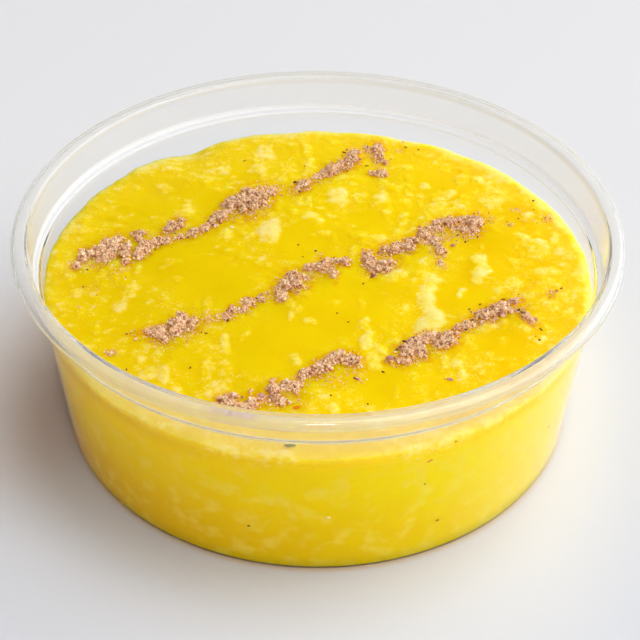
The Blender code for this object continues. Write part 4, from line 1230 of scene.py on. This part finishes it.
def clear_plastic():
    """Thin clear plastic, slightly cloudy at the thick rim, with a painted highlight on the step, a
    painted sheen low on the front wall and paler grazing edges. Light goes through it to the pudding.
    """
    finish = Finish(
        "clear_plastic", IOR=1.12, Transmission_Weight=1.0, Coat_IOR=1.5, Coat_Roughness=0.06
    )
    height = finish.place("Z")
    rim = finish.band("rim", height)
    over_line = finish.band("over_line", height)
    over_gap = finish.band("over_gap", height)
    # The pale line and the ledge are where a highlight is painted on the step, with less gloss there
    line = finish.band("pale_line", height) * (1.0 - over_line)
    ledge_highlight = line + over_gap * (1.0 - finish.band("over_ledge", height))
    gap = over_line * (1.0 - over_gap)
    bare_wall = finish.band("bare_wall", height)
    # Painted shade: the rim is painted greyer and warmer, for the darker surroundings seen through
    # its thick curves
    finish.set("Base Color", finish.blend(rim, paint(250, 251, 252), paint(243, 242, 236)))
    gloss = 0.07 + 0.43 * bare_wall + 0.35 * rim
    finish.set("Coat Weight", gloss - 0.35 * ledge_highlight - 0.45 * gap)
    finish.set("Roughness", 0.04 + 0.02 * finish.noise("plastic_haze") + 0.12 * rim)
    finish.set("Normal", finish.bump(finish.noise("plastic_waves"), 0.25 * MM, 0.3))

    edge = finish.add("ShaderNodeLayerWeight", None, {"Blend": 0.5}, "Facing") ** 12
    # Painted highlight: a white cloud on the ledge and the pale line stands in for the light shining
    # off the step
    cloud = 0.08 * rim + 0.04 * bare_wall + 0.22 * ledge_highlight
    # Cloud at the grazing edges above the foot: partly haze along the longer path through the
    # plastic, partly a painted reflection that lightens the edges
    cloud = cloud + 0.22 * finish.band("over_foot_edge", height) * edge
    # Painted reflection: a faint white cloud low on the front wall, just over the pudding's level,
    # stands in for the sheen seen there
    front = 1.0 - finish.band("behind_front_wall", finish.place("Y"))
    painted_front_sheen = finish.band("painted_front_sheen", height) - finish.band("over_painted_front_sheen", height)
    cloud = cloud + 0.045 * front * painted_front_sheen
    cloudy = finish.add("ShaderNodeBsdfDiffuse", None, {"Color": paint(244, 244, 245)})
    plastic = Channel(finish, finish.shader.outputs[0])
    plastic = finish.add("ShaderNodeMixShader", None, {0: cloud, 1: plastic, 2: cloudy})
    clear = finish.add("ShaderNodeBsdfTransparent", None, {"Color": paint(246, 247, 248)})
    shadow = finish.add("ShaderNodeLightPath", output="Is Shadow Ray")
    mixed = finish.add("ShaderNodeMixShader", None, {0: shadow, 1: plastic, 2: clear})
    finish.feed(finish.output.inputs["Surface"], mixed)
    return finish


def gel_colour(finish, height, across, on_top, right):
    """Egg yellow, more orange at the top's right. Painted light makes the upper side brighter, more
    so towards the right, and painted shade makes it browner low on its left.
    """
    colour = finish.blend(finish.noise("gel"), paint(246, 211, 0), paint(240, 199, 0))
    top_right = on_top * finish.band("orange_top", across)
    colour = finish.tint(colour, top_right, "orange_top")
    below_top = 1.0 - finish.band("over_painted_light_upper_side", height)
    upper_side = finish.band("painted_light_upper_side", height) * below_top
    # Painted light: the upper side is painted brighter and more lemon, more so towards the lit right
    colour = finish.tint(colour, upper_side * (0.35 + 0.25 * right), "painted_light_upper_side")
    # Painted shade: the lower side on the left, away from the light, is painted browner and darker
    low_left = (1.0 - finish.band("over_low_side", height)) * (1.0 - right)
    return finish.tint(colour, low_left, "painted_shade_low_left_side")


def add_rice(finish, colour, mottling, fine, on_top):
    """Paler where rice lies near the surface, with fine pale flecks that are partly rice and partly
    painted glints of the wet gel, and blotches on the side.
    """
    rice = finish.attribute("rice")
    richness = rice + 1.2 * (mottling - 0.5) + 0.7 * (fine - 0.5)
    colour = finish.tint(colour, finish.fade("milky_gel", richness), "milky_gel")
    colour = finish.tint(colour, finish.fade("pale_rice", richness), "pale_rice")
    # Fine pale flecks: partly broken rice, partly painted glints of the wet surface
    flecks_and_glints = finish.fade("rice_flecks_and_glints", finish.noise("rice_flecks_and_glints"))
    flecks_and_glints = flecks_and_glints * finish.fade("specked_rice", rice)
    colour = finish.tint(colour, flecks_and_glints, "rice_flecks_and_glints")
    blotches = finish.fade("side_blotches", finish.noise("side_blotches")) * (1.0 - on_top)
    return finish.tint(colour, blotches, "side_blotches")


def add_edges(finish, colour, height, across, on_top, right):
    """The far right of the side painted paler as a painted reflection of the light, the top's edge by
    the wall painted darker as painted shade, and the foot painted browner as painted shade.
    """
    # Painted reflection: the far right of the side is painted paler, for the light from the right
    # seen on the wall
    lit_side = finish.band("lit_side", across) * (1.0 - on_top)
    colour = finish.tint(colour, lit_side, "lit_side")
    radius = distance_from_middle(finish, across)
    # Painted shade: the top's edge by the wall is painted darker, most on the right, where light
    # reaches it from the top and the side
    painted_shade_top_edge = finish.band("near_wall", radius) * finish.band("painted_shade_top_edge", height)
    colour = finish.tint(colour, painted_shade_top_edge * (0.10 + 0.26 * right), "painted_shade_top_edge")
    # Painted shade: the pudding's foot, by the floor, is painted browner and darker
    foot = 1.0 - finish.band("over_foot", height)
    return finish.tint(colour, foot, "painted_shade_foot")


def distance_from_middle(finish, across):
    back = finish.place("Y")
    return (across * across + back * back) ** 0.5


def saffron_pudding():
    """Moist egg yellow gel, paler where rice lies under it, orange beside the spice."""
    finish = Finish(
        "saffron_pudding", Subsurface_Weight=0.95, Subsurface_Scale=8.0 * MM,
        Subsurface_Radius=(1.0, 0.7, 0.08), Specular_IOR_Level=0.0, Coat_IOR=1.36,
        Coat_Roughness=0.2,
    )
    height, across = finish.place("Z"), finish.place("X")
    on_top = finish.band("top", height)
    right = finish.band("right", across)
    mottling = finish.noise("mottling")
    fine = finish.noise("fine_mottling")
    colour = gel_colour(finish, height, across, on_top, right)
    colour = add_rice(finish, colour, mottling, fine, on_top)
    colour = add_edges(finish, colour, height, across, on_top, right)
    stain_spots = finish.fade("spice_stain", finish.noise("spice_stain"))
    colour = finish.tint(colour, finish.attribute("stain") * stain_spots, "spice_stain")
    colour = finish.tint(colour, on_top * (1.0 - right), "dim_left_top")
    cover = finish.attribute("spice")
    powder = finish.blend(fine, paint(176, 108, 58), paint(226, 164, 116))
    finish.set("Base Color", finish.blend(finish.fade("powder", cover), colour, powder))
    finish.set("Roughness", 0.6 + 0.3 * cover)
    finish.set("Coat Weight", 0.20 * on_top * (1.0 - finish.fade("dry_powder", cover)))
    bumps = mottling * (0.5 + finish.attribute("rice")) + 0.5 * fine
    finish.set("Normal", finish.bump(bumps, 0.12 * MM, 0.6))
    return finish


def crumb_finish(name):
    """Dry ground spice: each crumb has its own shade between two colours, with finer mottling."""
    darker, lighter = CRUMB_COLOURS[name]
    finish = Finish(name, Roughness=0.9, Specular_IOR_Level=0.15)
    shade = 0.75 * finish.attribute("shade") + 0.5 * finish.noise("crumb") - 0.12
    stops = [(0.1, paint(*darker)), (0.9, paint(*lighter))]
    finish.set("Base Color", finish.ramp(shade, stops))
    finish.set("Normal", finish.bump(finish.noise("crumb_bumps"), 0.04 * MM, 0.6))
    return finish


def plain_floor():
    """Pale and plain, with painted shade darker towards the front, a painted brown shadow by the tub
    and a painted ring of yellow light round its foot, where light has come through the pudding.
    """
    finish = Finish("plain_floor", Roughness=0.9, Specular_IOR_Level=0.1)
    across, back = finish.place("X"), finish.place("Y")
    # Painted shade: the floor is painted darker and bluer towards the front
    towards_back = finish.band("back_floor", back - 0.3 * across)
    colour = finish.blend(towards_back, paint(217, 219, 226), paint(227, 227, 229))
    in_front = 1.0 - finish.band("behind_front_floor", back)
    # Painted shade: the front right of the floor is painted darker and bluer, against the yellow
    # light the pudding throws there
    front_right = finish.band("right_floor", across) * in_front
    colour = finish.tint(colour, front_right, "bluish_shade_front_right")
    # Painted shade: the front left of the floor, where the tub's shadow falls, is painted darker
    front_left = (1.0 - finish.band("past_left_floor", across)) * in_front
    colour = finish.tint(colour, front_left, "painted_shade_front_left")
    radius = distance_from_middle(finish, across)
    left = 1.0 - finish.band("past_shadow_side", across)
    near = 1.0 - finish.band("off_shadow", radius)
    shadow = left * near * finish.band("behind_shadow", back)
    colour = finish.tint(colour, shadow, "brown_shadow")
    # Painted light: a ring of yellow light round the foot, that has come through the pudding
    yellow_bounce = 1.0 - finish.band("off_contact", radius)
    finish.set("Base Color", finish.tint(colour, yellow_bounce, "painted_yellow_bounce"))
    return finish


# Camera, floor and light

def make_camera():
    data = bpy.data.cameras.new("camera")
    data.lens = LENS
    data.sensor_width = SENSOR
    data.clip_start = CLIP_START
    camera = bpy.data.objects.new("camera", data)
    bpy.context.scene.collection.objects.link(camera)
    camera.location = camera_place()
    camera.rotation_euler = camera_turn().to_euler()
    bpy.context.scene.camera = camera


def make_floor():
    shape = bmesh.new()
    bmesh.ops.create_circle(shape, cap_ends=True, segments=FLOOR_SIDES, radius=FLOOR_RADIUS)
    floor = finish_piece("floor", shape, plain_floor())


def add_soft_light(name, azimuth, elevation, distance, size, power, colour):
    """A rectangular light, at a direction in degrees from the origin, that faces the tub."""
    data = bpy.data.lights.new(name, "AREA")
    data.shape = "RECTANGLE"
    data.size, data.size_y = size
    data.energy = power
    data.color = colour
    light = bpy.data.objects.new(name, data)
    bpy.context.scene.collection.objects.link(light)
    around, up = math.radians(azimuth), math.radians(elevation)
    way = Vector((math.cos(up) * math.cos(around), math.cos(up) * math.sin(around), math.sin(up)))
    light.location = way * distance
    light.rotation_euler = way.to_track_quat("Z", "Y").to_euler()


def make_room():
    """The room lights the food by direction, while the camera sees a plain backdrop."""
    world = bpy.data.worlds.new("studio")
    world.use_nodes = True
    nodes = Nodes(world.node_tree)
    way = nodes.add("ShaderNodeTexCoord", output="Generated")
    sockets = {0: way, 1: BRIGHT_SIDE}
    brightness = nodes.add("ShaderNodeVectorMath", {"operation": "DOT_PRODUCT"}, sockets, "Value")
    room = nodes.ramp(0.5 + 0.5 * brightness, ROOM_STOPS)
    camera = nodes.add("ShaderNodeLightPath", output="Is Camera Ray")
    through = nodes.add("ShaderNodeLightPath", output="Is Transmission Ray")
    bounces = nodes.add("ShaderNodeLightPath", output="Diffuse Depth")
    seen = camera + through * (1.0 - bounces.math("MINIMUM", bounces, 1.0))
    background = world.node_tree.nodes["Background"]
    nodes.feed(background.inputs["Color"], nodes.blend(seen, room, paint(*BACKDROP)))
    bpy.context.scene.world = world
    bpy.context.scene.view_settings.view_transform = "Standard"


def main():
    make_camera()
    make_floor()
    for name, light in LIGHTS.items():
        add_soft_light(name, *light)
    make_room()

    tub = make_tub(clear_plastic())
    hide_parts("tub")
    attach(tub, "root")

    top = PuddingTop()
    pudding = make_pudding(saffron_pudding(), top)
    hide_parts("pudding")
    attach(pudding, "root")

    for piece in make_powder(top) + make_small_pieces(top):
        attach(piece, "root")


main()
